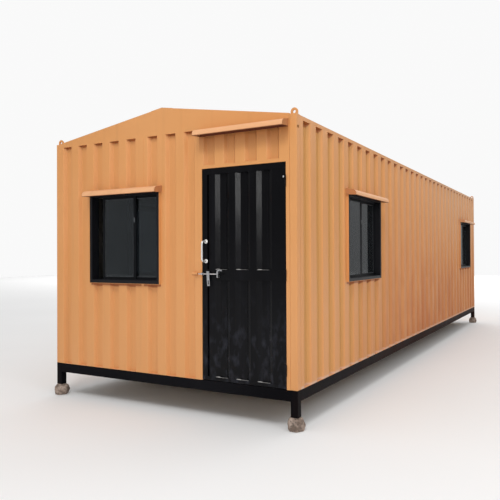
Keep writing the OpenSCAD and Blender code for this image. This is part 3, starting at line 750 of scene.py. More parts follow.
def close_row(rule, given, piece):
    """Ends a tree that sets a piece out in a row along the roof, tilted with its slope."""
    step = vector(rule, Y=given["Spacing"])
    line = {"Count": given["Count"], "Start Location": given["Start"], "Offset": step}
    row = add_node(rule, "GeometryNodeMeshLine", line)
    tilted = {"Points": row, "Instance": piece, "Rotation": vector(rule, Y=given["Tilt"])}
    close_rule(rule, add_node(rule, "GeometryNodeInstanceOnPoints", tilted), given["Finish"])


row_inputs = {"Count": "Int", "Spacing": "Float", "Start": "Vector", "Tilt": "Float", "Finish": "Material"}
rib_inputs = {"Length": "Float", "Width": "Float", "Height": "Float"}
rib_rule, given = new_rule("pressed_ribs", {**rib_inputs, **row_inputs})
size = vector(rib_rule, X=given["Length"], Y=given["Width"], Z=given["Height"])
block = add_node(rib_rule, "GeometryNodeMeshCube", {"Size": size})
x, y, z = axes(add_node(rib_rule, "GeometryNodeInputPosition", {}))
on_top = z > 0
pressed = vector(rib_rule, X=x * (1 - on_top * 0.05), Y=y * (1 - on_top * 0.5), Z=z)
block = add_node(rib_rule, "GeometryNodeSetPosition", {"Geometry": block, "Position": pressed})
close_row(rib_rule, given, block)

screw_rule, given = new_rule("roof_screws", row_inputs)
washer, head = (
    add_node(screw_rule, "GeometryNodeMeshCylinder", {"Vertices": corners, "Radius": radius, "Depth": depth})
    for corners, radius, depth in ((14, washer_r, washer_t), (6, screw_r, screw_h))
)
close_row(screw_rule, given, joined(washer, head))


def on_slope(side, up, y, lift):
    """A point on the roof: so far up the slope from the eave, raised off the steel."""
    out = half_w - up * math.cos(slope) + lift * math.sin(slope)
    return Vector((side * out, y, eaves_z + up * math.sin(slope) + lift * math.cos(slope)))


rib_run = cabin_l - 2 * rib_setback - rib_w
rib_count = round(rib_run / rib_pitch) + 1
rib_spacing = rib_run / (rib_count - 1)
rib_l = slope_l - rib_setback - ridge_wing - ridge_gap
first_rib = front_y + rib_setback + rib_w / 2
notched = [
    (0, front_y), (inner_x, front_y), (inner_x, front_y + wall_t), (half_w, front_y + wall_t),
    (half_w, rear_y - wall_t), (inner_x, rear_y - wall_t), (inner_x, rear_y), (0, rear_y),
]
screws = new_shell()
for side, node in ((1, "roof_sheet_right"), (-1, "roof_sheet_left")):
    sheet = new_shell()
    falling = Matrix(((0, side, 0, 0), (0, 0, 1, 0), (1, -gable_rise / half_w, 0, ridge_z), (0, 0, 0, 1)))
    prism(sheet, notched, roof_t, falling)
    round_edges(sheet, 0.001)
    tilted_row = {"Spacing": rib_spacing, "Tilt": side * slope}
    rib_mesh = grow(rib_rule, {
        **tilted_row, "Count": rib_count, "Finish": roof_enamel,
        "Length": rib_l, "Width": rib_w, "Height": rib_h,
        "Start": on_slope(side, rib_setback + rib_l / 2, first_rib, roof_t + rib_h / 2 - rib_bed),
    })
    ribs = new_shell()
    take_in(ribs, rib_mesh)
    round_edges(ribs, 0.006)
    take_in(sheet, plain_mesh("ribs", ribs))
    make_piece(node + "_ribbed", sheet, roof_enamel, [node])
    for up in screw_rows:
        take_in(screws, grow(screw_rule, {
            **tilted_row, "Count": rib_count - 1, "Finish": zinc_finish,
            "Start": on_slope(side, up, first_rib + rib_spacing / 2, roof_t + screw_lift),
        }))
make_piece("roof_screws", screws, zinc_finish)
cap_z = ridge_z + roof_t
cap_edge_z = cap_z - ridge_wing * gable_rise / half_w
cap = [
    (-ridge_wing, cap_edge_z), (0, cap_z), (ridge_wing, cap_edge_z),
    (ridge_wing, cap_edge_z + ridge_t), (0, cap_z + ridge_t), (-ridge_wing, cap_edge_z + ridge_t),
]
ridge = new_shell()
prism(ridge, cap, cabin_l, Matrix.Translation((0, front_y, 0)) @ Matrix.Rotation(math.pi / 2, 4, "Z"))
make_piece("ridge_capping", ridge, roof_enamel, ["ridge_cap"], soft=0.0007)


# Lifting lugs: a cap plate closes each post and carries an upright plate with a round top and a hole
# for a shackle, welded on and sprayed with the posts. Slings have rubbed the holes.
lug_t = 0.012
lug_hole_r = 0.015
lug_hole_up = 0.024
cap_plate_t = 0.006
lug_corner = math.atan2(lug_hole_up, half_t)


def turns(count, shift=0.0):
    """Angles spaced evenly round a circle."""
    return [math.tau * (k + shift) / count for k in range(count)]


def around(angles, edge):
    """Outline at the distance that edge gives for each angle."""
    return [(edge(turn) * math.cos(turn), edge(turn) * math.sin(turn)) for turn in angles]


def lug_edge(turn):
    """Distance from the hole to the lug's outline: round above, square below."""
    if math.sin(turn) >= 0:
        return half_t
    side = half_t / max(abs(math.cos(turn)), 1e-6)
    return min(side, lug_hole_up / abs(math.sin(turn)))


lug_turns = sorted(turns(44) + [math.pi + lug_corner, math.tau - lug_corner])
lug_outline = around(lug_turns, lug_edge)
lug_hole = around(lug_turns, lambda turn: lug_hole_r)
cap_plate = [(-half_t, -half_t), (half_t, -half_t), (half_t, half_t), (-half_t, half_t)]
lugs = new_shell()
for x, y in leg_centres:
    prism(lugs, cap_plate, cap_plate_t, Matrix.Translation((x, y, eaves_z)) @ upright)
    spot = Matrix.Translation((x, y - lug_t / 2, eaves_z + cap_plate_t + lug_hole_up))
    hollow_prism(lugs, lug_outline, lug_hole, lug_t, spot @ Matrix.Rotation(math.pi / 2, 4, "Z"))
make_piece("lifting_lug_plates", lugs, orange, ["lifting_lugs"], soft=0.0018)


# Weld beads: short runs of rippled weld where the lugs stand on their cap plates and where the posts
# meet the base frame. They are ground nowhere and painted over with what they join.
bead_r = 0.0032
bead_step = 0.0042
bead_rule, given = new_rule("weld_bead", {
    "Start": "Vector", "End": "Vector", "Count": "Int", "Radius": "Float", "Finish": "Material",
})
ripple = add_node(bead_rule, "GeometryNodeMeshIcoSphere", {"Radius": given["Radius"], "Subdivisions": 1})
line = {"Count": given["Count"], "Start Location": given["Start"], "Offset": given["End"]}
run = add_node(bead_rule, "GeometryNodeMeshLine", line, mode="END_POINTS")
shares = {2: 0.8, 3: 1.15, "Seed": 5}
uneven = add_node(bead_rule, "FunctionNodeRandomValue", shares, out=1, data_type="FLOAT")
strung = {"Points": run, "Instance": ripple, "Scale": uneven}
close_rule(bead_rule, add_node(bead_rule, "GeometryNodeInstanceOnPoints", strung), given["Finish"])


def weld(bm, start, end, finish):
    """Lays one bead between two points."""
    steps = round((Vector(end) - Vector(start)).length / bead_step) + 1
    run = {"Start": start, "End": end, "Count": steps, "Radius": bead_r, "Finish": finish}
    take_in(bm, grow(bead_rule, run))


orange_beads, black_beads = new_shell(), new_shell()
inset = half_t - tube_round
on_face = half_t - bead_r / 2
in_corner = half_t - bead_r
foot_z = eaves_z + cap_plate_t
low_z = floor_z - base_h + channel_t
for x, y in leg_centres:
    for lug_y in (y - lug_t / 2, y + lug_t / 2):
        weld(orange_beads, (x - inset, lug_y, foot_z), (x + inset, lug_y, foot_z), orange)
    out_x, out_y = math.copysign(1, x), math.copysign(1, y)
    face_x, face_y = x + out_x * on_face, y + out_y * on_face
    corner_x, corner_y = x + out_x * in_corner, y + out_y * in_corner
    in_x, in_y = x - out_x * half_t, y - out_y * half_t
    for start, end in (
        ((x - inset, face_y, floor_z), (x + inset, face_y, floor_z)),
        ((face_x, y - inset, floor_z), (face_x, y + inset, floor_z)),
        ((in_x, corner_y, low_z), (in_x, corner_y, floor_z)),
        ((corner_x, in_y, low_z), (corner_x, in_y, floor_z)),
    ):
        weld(black_beads, start, end, base_enamel)
make_piece("weld_beads_lugs", orange_beads, orange, crease=60)
make_piece("weld_beads_base", black_beads, base_enamel, crease=60)


# Windows: a steel sleeve stands out from the wall, orange outside, with a black frame inside it. Two
# dark sliding sashes run in tracks on the sill and head, and the front window is slid a little open.
frame_w = 0.036
frame_proud = 0.027
sleeve_t = 0.003
sleeve_in = 0.040
sash_w = 0.032
sash_t = 0.017
sash_gap = 0.003
sash_set = 0.002
gasket_w = 0.006
gasket_t = 0.010
glass_t = 0.005
track_t = 0.0018
track_h = 0.009
pull_w = 0.012
pull_h = 0.050
pull_t = 0.004
pull_share = 0.68
front_open = 0.105
window_h = window_top - window_z
window_list = [(wall, start, end - start, front_open * (wall is front)) for wall, _, start, end in glazed]

frame_enamel = enamel(
    "black_window_enamel", paint=(0.007, 0.007, 0.009), faded=(0.012, 0.012, 0.015), bare=(0.08, 0.04, 0.03),
    rough=0.34, dust=(0.10, 0.08, 0.06), dusty=0.05, gloss=0.15,
)
sash_finish = mottled(
    "dark_anodised_sash", {"Specular IOR Level": 0.04}, 90, (0.35, 0.65),
    ((0.005, 0.0055, 0.0065), (0.011, 0.012, 0.014)), stretch=(1, 1, 0.06), rough=(0.3, 0.45),
    worn=(0.16, 0.17, 0.18),
)
pull_finish = mottled(
    "worn_sash_pull", {"Roughness": 0.42, "Specular IOR Level": 0.2}, 60, (0.35, 0.65),
    ((0.05, 0.055, 0.06), (0.13, 0.14, 0.15)),
)
gasket_finish = mottled(
    "rubber_gasket", {"Roughness": 0.75, "Specular IOR Level": 0.3}, 30, (0.4, 0.7),
    ((0.045, 0.048, 0.053), (0.075, 0.08, 0.086)),
)
glass_finish = mottled(
    "tinted_glass", {"Transmission Weight": 0.92, "IOR": 1.53, "Specular Tint": (0.88, 0.96, 1, 1)},
    2.5, (0.35, 0.7), ((0.075, 0.089, 0.102), (0.105, 0.124, 0.142)), rough=(0.02, 0.07),
)


def pierced_plate(bm, xs, zs, holes, y0, y1, place):
    """A plate in the plane of a wall, laid out on a grid of lines and open at the cells in holes."""
    made = {}

    def corner_at(i, k, y):
        if (i, k, y) not in made:
            made[i, k, y] = bm.verts.new(place @ Vector((xs[i], y, zs[k])))
        return made[i, k, y]

    solid = {(i, k) for i in range(len(xs) - 1) for k in range(len(zs) - 1)} - set(holes)
    for i, k in solid:
        corners = ((i, k), (i + 1, k), (i + 1, k + 1), (i, k + 1))
        beyond = ((i, k - 1), (i + 1, k), (i, k + 1), (i - 1, k))
        for y in (y0, y1):
            bm.faces.new([corner_at(*c, y) for c in corners])
        for e in range(4):
            if beyond[e] not in solid:
                a, b = corners[e], corners[(e + 1) % 4]
                bm.faces.new((corner_at(*a, y0), corner_at(*b, y0), corner_at(*b, y1), corner_at(*a, y1)))


def ring_plate(bm, lo, hi, width, y0, y1, place):
    """A rectangular ring of one width all round."""
    xs, zs = ((lo[axis], lo[axis] + width, hi[axis] - width, hi[axis]) for axis in (0, 1))
    pierced_plate(bm, xs, zs, [(1, 1)], y0, y1, place)


def bar(bm, lo, hi, place=Matrix.Identity(4)):
    """A straight bar between two corners."""
    outline = [(lo[1], lo[2]), (hi[1], lo[2]), (hi[1], hi[2]), (lo[1], hi[2])]
    prism(bm, outline, hi[0] - lo[0], place @ Matrix.Translation((lo[0], 0, 0)))


sleeves, frames, sashes, gaskets, panes, pulls = (new_shell() for _ in range(6))
inner_track = wall_t - sash_set - sash_t
outer_track = inner_track - sash_gap - sash_t
lip = gasket_w / 2
for wall, start, width, slid in window_list:
    place = wall @ Matrix.Translation((start, 0, window_z))
    ring_plate(sleeves, (0, 0), (width, window_h), sleeve_t, -frame_proud, sleeve_in, place)
    in_lo, in_hi = (sleeve_t, sleeve_t), (width - sleeve_t, window_h - sleeve_t)
    ring_plate(frames, in_lo, in_hi, frame_w - sleeve_t, sleeve_t - frame_proud, wall_t, place)
    clear_w = width - 2 * frame_w
    sash_l = (clear_w + sash_w) / 2
    for y in (outer_track - 2 * track_t, inner_track - sash_gap / 2 - track_t / 2):
        for z in (frame_w, window_h - frame_w - track_h):
            bar(frames, (frame_w, y, z), (width - frame_w, y + track_t, z + track_h), place)
    for x, y in ((frame_w + slid, outer_track), (frame_w + clear_w - sash_l, inner_track)):
        lo, hi = (x, frame_w), (x + sash_l, window_h - frame_w)
        ring_plate(sashes, lo, hi, sash_w, y, y + sash_t, place)
        lo, hi = (x + sash_w, frame_w + sash_w), (hi[0] - sash_w, hi[1] - sash_w)
        mid = y + sash_t / 2
        ring_plate(gaskets, lo, hi, gasket_w, mid - gasket_t / 2, mid + gasket_t / 2, place)
        pane_lo = (lo[0] + lip, mid - glass_t / 2, lo[1] + lip)
        bar(panes, pane_lo, (hi[0] - lip, mid + glass_t / 2, hi[1] - lip), place)
    pull_x = frame_w + slid + sash_l - sash_w / 2 - pull_w / 2
    pull_z = frame_w + pull_share * (window_h - 2 * frame_w)
    bar(pulls, (pull_x, outer_track - pull_t, pull_z), (pull_x + pull_w, outer_track, pull_z + pull_h), place)
make_piece("window_sleeves", sleeves, orange, ["window_jambs"], soft=0.0009)
make_piece("window_frames", frames, frame_enamel, ["window_heads_and_sills"], soft=0.0008)
make_piece("sliding_sashes", sashes, sash_finish, ["window_sashes"], soft=0.0022)
make_piece("glazing_gaskets", gaskets, gasket_finish, soft=0.0015)
make_piece("window_panes", panes, glass_finish, ["window_glass"])
make_piece("sash_pulls", pulls, pull_finish, soft=0.0015)


# Canopies: one strip of sheet folded to a falling top, a round nose, an upright lip and a narrow hem,
# closed by a welded plate at each end. The sheet is a lighter copy of the wall's orange, a painted
# highlight for the light it catches from above, and the end plates a darker copy, as painted shade.
# The one over the door is fixed by a flange along the wall, painted dark brown as painted shadow
# under its lip.
canopy_proj = front_y - canopy_lo.y
canopy_fall = 0.024
canopy_lip = 0.052
canopy_end_h = 0.068
canopy_t = 0.003
canopy_hem = 0.014
canopy_bends = (0.042, 0.0095)
canopy_over = 0.016
canopy_side = 0.018
end_proud = 0.0002
shadow_flange_t = 0.0016
shadow_flange_rise = 0.006
# Dark brown for the door canopy's flange and the door stops, as painted shadow and painted shade.
shadow_brown_finish = enamel(
    "brown_primer", paint=(0.14, 0.028, 0.006), faded=(0.17, 0.038, 0.009), bare=(0.2, 0.1, 0.06),
    rough=0.62, dust=(0.2, 0.1, 0.06), dusty=0.0,
)
# A lighter copy of the wall's orange, a painted highlight for the light the canopies catch from above.
lit_canopy_enamel = enamel(
    "bright_canopy_enamel", paint=(0.80, 0.42, 0.212), faded=(0.83, 0.46, 0.245), bare=(0.8, 0.58, 0.44),
    rough=0.34, dust=(0.6, 0.3, 0.15), dusty=0.0, painted_shade=(0.17, 0.036, 0.008), gloss=0.1,
)
# A darker copy of the orange for the canopy end plates, as painted shade.
shaded_end_enamel = enamel(
    "thin_canopy_coat", paint=(0.47, 0.20, 0.082), faded=(0.54, 0.24, 0.105), bare=(0.3, 0.15, 0.08),
    rough=0.45, dust=(0.4, 0.2, 0.1), dusty=0.0, painted_shade=(0.17, 0.036, 0.008), gloss=0.1,
)


def rounded_path(points, bends, steps=6):
    """A path with each inner corner turned on a curve that takes up its bend at both sides."""
    path = [Vector(points[0])]
    for before, here, after, radius in zip(points, points[1:], points[2:], bends):
        here = Vector(here)
        back = (Vector(before) - here).normalized()
        on = (Vector(after) - here).normalized()
        for k in range(steps + 1):
            share = k / steps
            path.append(here + radius * ((1 - share) ** 2 * back + share ** 2 * on))
    return path + [Vector(points[-1])]


def heading(path, k):
    """The way a path runs at one of its points."""
    return (path[min(k + 1, len(path) - 1)] - path[max(k - 1, 0)]).normalized()


canopy_path = rounded_path([
    (0, canopy_fall), (-canopy_proj, 0), (-canopy_proj, -canopy_lip), (canopy_hem - canopy_proj, -canopy_lip),
], canopy_bends)
ways = [heading(canopy_path, k) for k in range(len(canopy_path))]
inside = [here + canopy_t * Vector((-way.y, way.x)) for here, way in zip(canopy_path, ways)]
canopy_section = canopy_path + inside[::-1]
canopy_end = canopy_path[:-1] + [Vector((0, canopy_fall - canopy_end_h))]


def canopy(bm, ends, width, place):
    """One canopy, its lip's top at the origin."""
    prism(bm, canopy_section, width, place)
    for x in (-end_proud, width - canopy_t + end_proud):
        prism(ends, canopy_end, canopy_t, place @ Matrix.Translation((x, 0, 0)))


over_windows, over_doorway, end_plates, shadow_flange = (new_shell() for _ in range(4))
for wall, start, width, _ in window_list:
    place = wall @ Matrix.Translation((start - canopy_side, 0, window_top + canopy_over))
    canopy(over_windows, end_plates, width + 2 * canopy_side, place)
door_lip_z = canopy_hi.z - canopy_fall
place = Matrix.Translation((canopy_lo.x, front_y, door_lip_z))
canopy(over_doorway, end_plates, canopy_hi.x - canopy_lo.x, place)
# The flange stands in as painted shadow under the door canopy's lip.
shadow_flange_lo = (canopy_lo.x + 2 * canopy_t, front_y - shadow_flange_t, door_lip_z - canopy_lip + shadow_flange_rise)
bar(shadow_flange, shadow_flange_lo, (canopy_hi.x - 2 * canopy_t, front_y, canopy_hi.z - 2 * canopy_t))
make_piece("window_canopy_sheets", over_windows, lit_canopy_enamel, ["window_canopies"])
make_piece("door_canopy_sheet", over_doorway, lit_canopy_enamel, ["door_canopy"])
make_piece("canopy_end_plates", end_plates, shaded_end_enamel)
make_piece("door_canopy_flange", shadow_flange, shadow_brown_finish, soft=0.0005)


# Doorway: jambs and head of folded plate in the wall colour, with a steel stop the leaf shuts
# against, painted dark brown as painted shade in the gap round the leaf, and a zinc-plated threshold.
dress(orange, "door_jambs", "door_head")
# Dark brown on the stops is painted shade in the gap round the leaf.
dress(shadow_brown_finish, "door_stops")
dress(zinc_finish, "door_threshold")


# Door leaf: a welded frame with a middle rail holds two ribbed steel panels, all in gloss black
# enamel. It shines along the ribs and is rubbed to primer along the edges of the frame.
leaf_lo, leaf_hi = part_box("door_leaf_frame")
panel_lo, panel_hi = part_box("door_panels")
mid_rail_h = 0.100
mid_rail_share = 0.5
panel_pitch = 0.230
panel_mouth = 0.70
panel_floor = 0.29
panel_depth = 0.024
panel_set = panel_lo.y - front_y
panel_ribs = 3
mid_rail_z = mid_rail_share * (leaf_hi.z - floor_z)
rail_low = mid_rail_z - mid_rail_h / 2
rail_high = mid_rail_z + mid_rail_h / 2
# The door's light streaks and low smears are painted reflections on the black.
door_enamel = enamel(
    "gloss_black_door_enamel", paint=(0.003, 0.003, 0.004), faded=(0.005, 0.005, 0.006),
    bare=(0.06, 0.03, 0.022), rough=0.05, dust=(0.030, 0.026, 0.023), dusty=0.10, rise=0.5, gloss=0.11,
    reflection_smears=(0.024, 0.025, 0.033), streak_or_reflection=(0.011, 0.011, 0.015),
)
leaf = new_shell()
leaf_xs = (leaf_lo.x, panel_lo.x, panel_hi.x, leaf_hi.x)
foot_low, foot_high, top_low, top_high = (z - floor_z for z in (leaf_lo.z, panel_lo.z, panel_hi.z, leaf_hi.z))
leaf_zs = (foot_low, foot_high, rail_low, rail_high, top_low, top_high)
pierced_plate(leaf, leaf_xs, leaf_zs, [(1, 1), (1, 3)], 0, leaf_hi.y - leaf_lo.y, front)
make_piece("door_frame", leaf, door_enamel, ["door_leaf_frame"], body="door", soft=0.0028)
panel_first = (panel_lo.x + panel_hi.x) / 2 - (panel_ribs - 1) / 2 * panel_pitch
panel_waves = wave_set(
    panel_first, panel_pitch, panel_ribs, panel_depth, door_enamel, shares=(panel_mouth, panel_floor)
)
panels = new_shell()
set_back = front @ Matrix.Translation((0, panel_set, 0))
for low, high in ((foot_high, rail_low), (rail_high, top_low)):
    rolled_bay(panels, set_back, panel_waves, panel_lo.x, panel_hi.x, low, high)
make_piece("door_ribbed_panels", panels, door_enamel, ["door_panels"], body="door", crease=40)


# Ledge glints: pale strips on the top edges of the bottom and middle rails, in the hollow of each
# panel valley, shaped as packed dust and coloured as a painted highlight for the glint of the rail
# edges there. Each is heaped against the flank and thins out over the floor of the valley.
glint_front = 0.0015
glint_back = 0.011
glint_ridge = (
    (-0.47, 0.0006), (-0.40, 0.0050), (-0.30, 0.0060), (-0.19, 0.0050), (-0.13, 0.0018), (0.14, 0.0016),
    (0.36, 0.0006),
)
# Pale as a painted highlight for the glint of the rail edges in the valleys.
ledge_glint_finish = mottled(
    "packed_dust", {"Specular IOR Level": 0.1, "Roughness": 0.95}, 120, (0.35, 0.65),
    ((0.30, 0.29, 0.28), (0.56, 0.54, 0.52)), raised=0.001,
)
glint_heaps = new_shell()
for ledge in (foot_high, rail_high):
    for rib in range(panel_ribs):
        place = front @ Matrix.Translation((panel_first + rib * panel_pitch, 0, ledge))
        closed_skin(glint_heaps, [
            ring(
                glint_heaps, ((glint_front, 0), (glint_back, 0), ((glint_front + glint_back) / 2, tall)),
                share * panel_mouth * panel_pitch, place,
            )
            for share, tall in glint_ridge
        ])
make_piece("ledge_dust", glint_heaps, ledge_glint_finish, body="door", crease=60)


# Hinges: three butt hinges, each a leaf on the jamb and a leaf on the door with rolled knuckles on a
# steel pin. The jamb's plates were sprayed with the jamb and the rest brushed black with the door.
# One screw of the top hinge has been renewed and is bright.
hinge_joint = next(j for j in frame["joints"] if j["name"] == "door_hinge")
hinge_x, hinge_y = hinge_joint["pos_m"][:2]
knuckle_r = 0.008
knuckle_soft = 0.0008
knuckle_gap = 0.001
pin_r = 0.004
pin_soft = 0.001
pin_bore = 0.0045
hinge_h = 0.100
hinge_w = 0.032
hinge_plate_t = 0.003
door_gap = 0.005
hinge_edge = 0.165
hinge_low = leaf_lo.z + hinge_edge
hinge_high = leaf_hi.z - hinge_edge
hinge_heights = (hinge_low, (hinge_low + hinge_high) / 2, hinge_high)
plate_reach = door_gap / 2 + hinge_w
plate_start = 0.7 * knuckle_r
plate_y = front_y - hinge_plate_t
screw_out = 0.64 * plate_reach
screw_shares = (0.28, 0.72)
hinge_screw_r = 0.0042
new_screw_r = 0.009
outward = Matrix.Rotation(-math.pi / 2, 4, "Z")


def turned(bm, profile, place, sides=28):
    """Spins a profile of (radius, height) about the local X axis into a closed solid. A profile that
    ends where it starts closes on its own first ring."""
    closed = profile[0] == profile[-1]
    rings = []
    for radius, x in profile[:-1] if closed else profile:
        angles = turns(sides) if radius else [0.0]
        rings.append(ring(bm, around(angles, lambda turn: radius), x, place))
    if closed:
        rings.append(rings[0])
    for a, b in zip(rings, rings[1:]):
        if len(a) == len(b):
            skin(bm, a, b)
            continue
        for k in range(sides):
            n = (k + 1) % sides
            bm.faces.new((a[0], b[n], b[k]) if len(a) == 1 else (a[k], a[n], b[0]))


def chamfered(radius, length, soft, bore=0.0):
    """Profile of a round bar with softened ends, solid or bored."""
    profile = [
        (bore, 0), (radius - soft, 0), (radius, soft),
        (radius, length - soft), (radius - soft, length), (bore, length),
    ]
    return profile + profile[:1] if bore else profile


def screw_head(bm, spot, radius=hinge_screw_r):
    """A countersunk screw head, a little domed, facing out of the front."""
    dome = [(r * radius, h * radius) for r, h in ((0, 0), (1, 0), (0.8, 0.22), (0.45, 0.36), (0, 0.4))]
    turned(bm, dome, Matrix.Translation(spot) @ outward, sides=14)


def on_hinge(z):
    """The hinge line from one height up."""
    return Matrix.Translation((hinge_x, hinge_y, z)) @ upright


fixed_halves, jamb_plates, swinging_halves = (new_shell() for _ in range(3))
fixed_screws, swinging_screws, new_screw = (new_shell() for _ in range(3))
pin_l = hinge_h / 2 - pin_r
pin_profile = [(0, 0), (pin_r, 0), (pin_r, pin_l - pin_soft), (pin_r - pin_soft, pin_l), (0, pin_l)]
for z in hinge_heights:
    bottom, lifted, top = z - hinge_h / 2, z + knuckle_gap, z + hinge_h / 2
    turned(fixed_halves, chamfered(knuckle_r, z - bottom, knuckle_soft), on_hinge(bottom))
    turned(fixed_halves, pin_profile, on_hinge(z))
    turned(swinging_halves, chamfered(knuckle_r, top - lifted, knuckle_soft, pin_bore), on_hinge(lifted))
    bar(jamb_plates, (hinge_x + plate_start, plate_y, bottom), (hinge_x + plate_reach, front_y, z))
    bar(swinging_halves, (hinge_x - plate_reach, plate_y, lifted), (hinge_x - plate_start, front_y, top))
    for share in screw_shares:
        screw_head(fixed_screws, (hinge_x + screw_out, plate_y, bottom + share * hinge_h / 2))
        spot = (hinge_x - screw_out, plate_y, z + share * hinge_h / 2)
        if share == screw_shares[-1] and z == hinge_high:
            screw_head(new_screw, spot, radius=new_screw_r)
        else:
            screw_head(swinging_screws, spot)
make_piece("hinge_pins_and_knuckles", fixed_halves, door_enamel, ["hinge_pins"])
make_piece("hinge_jamb_plates", jamb_plates, orange)
make_piece("hinge_door_halves", swinging_halves, door_enamel, ["hinge_leaves"], body="door")
make_piece("hinge_jamb_screws", fixed_screws, orange)
make_piece("hinge_door_screws", swinging_screws, door_enamel, body="door")
make_piece("hinge_renewed_screw", new_screw, zinc_finish, body="door")


# Pull handle: a bright plated round bar bent to a bow, its feet seated in two domed roses that are
# fixed to the latch stile.
grip_r = 0.009
grip_span = 0.190
grip_rise = 0.130
grip_off = 0.068
grip_x = 0.042
grip_bend = 0.030
rose_r = 0.020
rose_t = 0.005
chrome_finish = mottled(
    "bright_plate", {"Metallic": 0.55}, 14, (0.35, 0.8), ((0.86, 0.84, 0.81), (0.77, 0.75, 0.73)),
    rough=(0.24, 0.33),
)


def round_bar(bm, path, radius, sides=18):
    """A round bar along a path in a plane across X, closed at both ends."""
    across = Vector((1, 0, 0))
    rings = []
    for k, here in enumerate(path):
        other = heading(path, k).cross(across)
        spokes = [math.cos(t) * across + math.sin(t) * other for t in turns(sides)]
        rings.append([bm.verts.new(here + radius * spoke) for spoke in spokes])
    closed_skin(bm, rings)


grip_foot = Vector((leaf_lo.x + grip_x, front_y, floor_z + mid_rail_z + grip_rise))
bow = [(0.0, 0.0), (-grip_off, 0.0), (-grip_off, grip_span), (0.0, grip_span)]
bow_path = [grip_foot + Vector((0, *point)) for point in rounded_path(bow, (grip_bend, grip_bend), steps=8)]
rose_shares = ((0, 0), (1, 0), (1, 0.4), (0.9, 0.8), (0.7, 1), (0, 1))
rose_profile = [(r * rose_r, h * rose_t) for r, h in rose_shares]
handle = new_shell()
round_bar(handle, bow_path, grip_r)
for up in (0, grip_span):
    turned(handle, rose_profile, Matrix.Translation(grip_foot + Vector((0, 0, up))) @ outward)
make_piece("pull_handle", handle, chrome_finish, ["door_handle"], body="door")


# Slide bolt: a plated rod that runs through two guide plates on the middle rail into a painted keep
# on the wall. A flat hasp with a slot for a padlock hangs from the rod, leaning a little, and is the
# thumb-piece. The rod's tail, past the inner guide, was brushed black with the door.
bolt_lo, bolt_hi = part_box("slide_bolt")
guide_lo, guide_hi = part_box("bolt_guides")
keep_lo, keep_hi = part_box("bolt_keep")
bolt_r = 0.006
bolt_soft = 0.002
bolt_bore = 0.007
bolt_off = 0.018
guide_t = 0.012
guide_nose = bolt_bore + 0.007
hasp_w = 0.030
hasp_l = 0.115
hasp_rise = 0.026
hasp_t = 0.005
hasp_lean = math.radians(4)
tab_l = 0.026
tab_h = 0.011
tab_t = 0.003
hasp_x = leaf_lo.x + 0.065
bolt_y = front_y - bolt_off
bolt_z = (keep_lo.z + keep_hi.z) / 2
keep_h = keep_hi.z - keep_lo.z
tail_blur = 0.002


def guide_block(bm, start, length, tall):
    """A guide or keep: a plate on the leaf with a round nose about the bore."""

    def edge(turn):
        toward = math.cos(turn)
        flat = tall / 2 / max(abs(math.sin(turn)), 1e-6)
        if toward > 0:
            return min(bolt_off / toward, flat)
        if tall <= 2.2 * guide_nose:
            return guide_nose
        return guide_nose + (min(flat, tall) - guide_nose) * math.sin(turn) ** 4

    angles = turns(32, shift=0.5)
    bore = around(angles, lambda turn: bolt_bore)
    hollow_prism(bm, around(angles, edge), bore, length, Matrix.Translation((start, bolt_y, bolt_z)))


guides, keep, rod, hasp = (new_shell() for _ in range(4))
guide_block(guides, guide_lo.x, guide_t, keep_h)
guide_block(guides, guide_hi.x - guide_t, guide_t, guide_hi.z - guide_lo.z)
bar(guides, (guide_hi.x, front_y - tab_t, guide_hi.z - tab_h), (guide_hi.x + tab_l, front_y, guide_hi.z))
make_piece("bolt_guide_plates", guides, zinc_finish, ["bolt_guides"], body="door", soft=0.001)
guide_block(keep, keep_lo.x, keep_hi.x - keep_lo.x, keep_h)
make_piece("bolt_keep_block", keep, orange, ["bolt_keep"], soft=0.0015)

rod_finish, tree, shader = new_finish("half_painted_rod", {"Metallic": 1.0})
along = axes(add_node(tree, "ShaderNodeTexCoord", {}, out="Object"))[0]
tail = along.ramp(guide_hi.x - tail_blur, guide_hi.x + tail_blur)
haze = patches(tree, 40, 0.4, 0.75)
colour = tint(haze, (0.80, 0.80, 0.82), (0.66, 0.66, 0.68))
tint(tail, colour, (0.012, 0.012, 0.014)).to(shader, "Base Color")
haze.ramp(0, 1, 0.2, 0.36).to(shader, "Roughness")
rod_profile = chamfered(bolt_r, bolt_hi.x - bolt_lo.x, bolt_soft)
turned(rod, rod_profile, Matrix.Translation((bolt_lo.x, bolt_y, bolt_z)))
make_piece("bolt_rod", rod, rod_finish, ["slide_bolt"], body="bolt")

strap_y = bolt_y - bolt_r - hasp_t / 2
slot_w = hasp_w / 3
slot_z = bolt_z - hasp_l + hasp_w / 2
hasp_mid = hasp_x + hasp_w / 2
hasp_xs = (hasp_x, hasp_mid - slot_w / 2, hasp_mid + slot_w / 2, hasp_x + hasp_w)
hasp_zs = (bolt_z - hasp_l, slot_z, slot_z + hasp_l / 3, bolt_z + hasp_rise)
hasp_pivot = Matrix.Translation((hasp_mid, 0, bolt_z))
lean = hasp_pivot @ Matrix.Rotation(-hasp_lean, 4, "Y") @ hasp_pivot.inverted()
pierced_plate(hasp, hasp_xs, hasp_zs, [(1, 1)], strap_y, strap_y + hasp_t, lean)
make_piece("bolt_hasp", hasp, zinc_finish, body="bolt", soft=0.0016)


# Studio: a plain pale floor, soft boxes above, before and beside the cabin and one over the floor
# behind it, and the camera where the photograph was taken from, a little above the sills.
floor_half = 34
floor_shell = bmesh.new()
bmesh.ops.create_grid(floor_shell, x_segments=2, y_segments=2, size=floor_half)
studio_floor = place_object("studio_floor", plain_mesh("studio_floor", floor_shell))
studio_floor.data.materials.append(mottled(
    "pale_floor", {"Specular IOR Level": 0.1, "Roughness": 0.9}, 0.3, (0.3, 0.7),
    ((0.90, 0.90, 0.90), (0.92, 0.92, 0.92)),
))

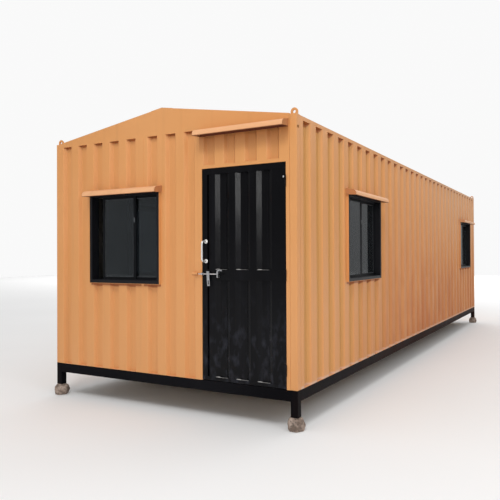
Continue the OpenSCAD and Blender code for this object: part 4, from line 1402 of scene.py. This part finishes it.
scene = bpy.context.scene
scene.view_settings.view_transform = "Standard"
sky = bpy.data.worlds.new("studio_sky")
scene.world = sky
sky.use_nodes = True
sky_tree = sky.node_tree
white = (1.0, 1.0, 1.0, 1)
glow = sky_tree.nodes["Background"]
glow.inputs["Color"].default_value = white
climb = axes(add_node(sky_tree, "ShaderNodeTexCoord", {}, out="Generated"))[2]
climb.ramp(0, 1, least=0.34, most=0.80).to(glow, "Strength")
overcast = Reading(sky_tree, glow.outputs[0])
backdrop = add_node(sky_tree, "ShaderNodeBackground", {"Color": white, "Strength": 0.95})
seen = add_node(sky_tree, "ShaderNodeLightPath", {}, out="Is Camera Ray")
whole = add_node(sky_tree, "ShaderNodeMixShader", {0: seen, 1: overcast, 2: backdrop})
whole.to(sky_tree.nodes["World Output"], "Surface")


def soft_light(name, spot, aim, size, power):
    """A soft box that faces a point."""
    light = bpy.data.lights.new(name, "AREA")
    light.shape = "RECTANGLE"
    light.size, light.size_y = size
    light.energy = power
    lamp = place_object(name, light)
    lamp.location = spot
    lamp.rotation_euler = (Vector(aim) - Vector(spot)).to_track_quat("-Z", "Y").to_euler()


soft_light("key", (3.6, front_y - 7.8, 12.6), aim=(0, front_y, 1.6), size=(4.0, 4.0), power=590)
soft_light("door_strip", (5.35, front_y - 11.0, 3.7), aim=(0.9, front_y, 2.1), size=(2.3, 1.7), power=185)
soft_light("side_fill", (10.0, front_y - 3.0, 6.5), aim=(0, front_y + 1.0, 1.6), size=(3.0, 3.0), power=125)
soft_light("backdrop_light", (-6.0, 25.0, 14.0), aim=(-6.0, 25.0, 0), size=(52.0, 22.0), power=5200)

camera_data = bpy.data.cameras.new("photo_camera")
camera_data.sensor_width = 36.0
camera_data.lens = 41.3
camera_data.shift_x = -0.056
camera = place_object("photo_camera", camera_data)
camera_yaw = math.radians(28.23)
camera_pitch = math.radians(0.47)
camera_roll = math.radians(-0.28)
camera_spot = Matrix.Translation((3.782, front_y - 4.562, floor_z + 1.210))
aim = Matrix.Rotation(camera_yaw, 4, "Z") @ Matrix.Rotation(math.pi / 2 + camera_pitch, 4, "X")
camera.matrix_world = camera_spot @ aim @ Matrix.Rotation(camera_roll, 4, "Z")
scene.camera = camera
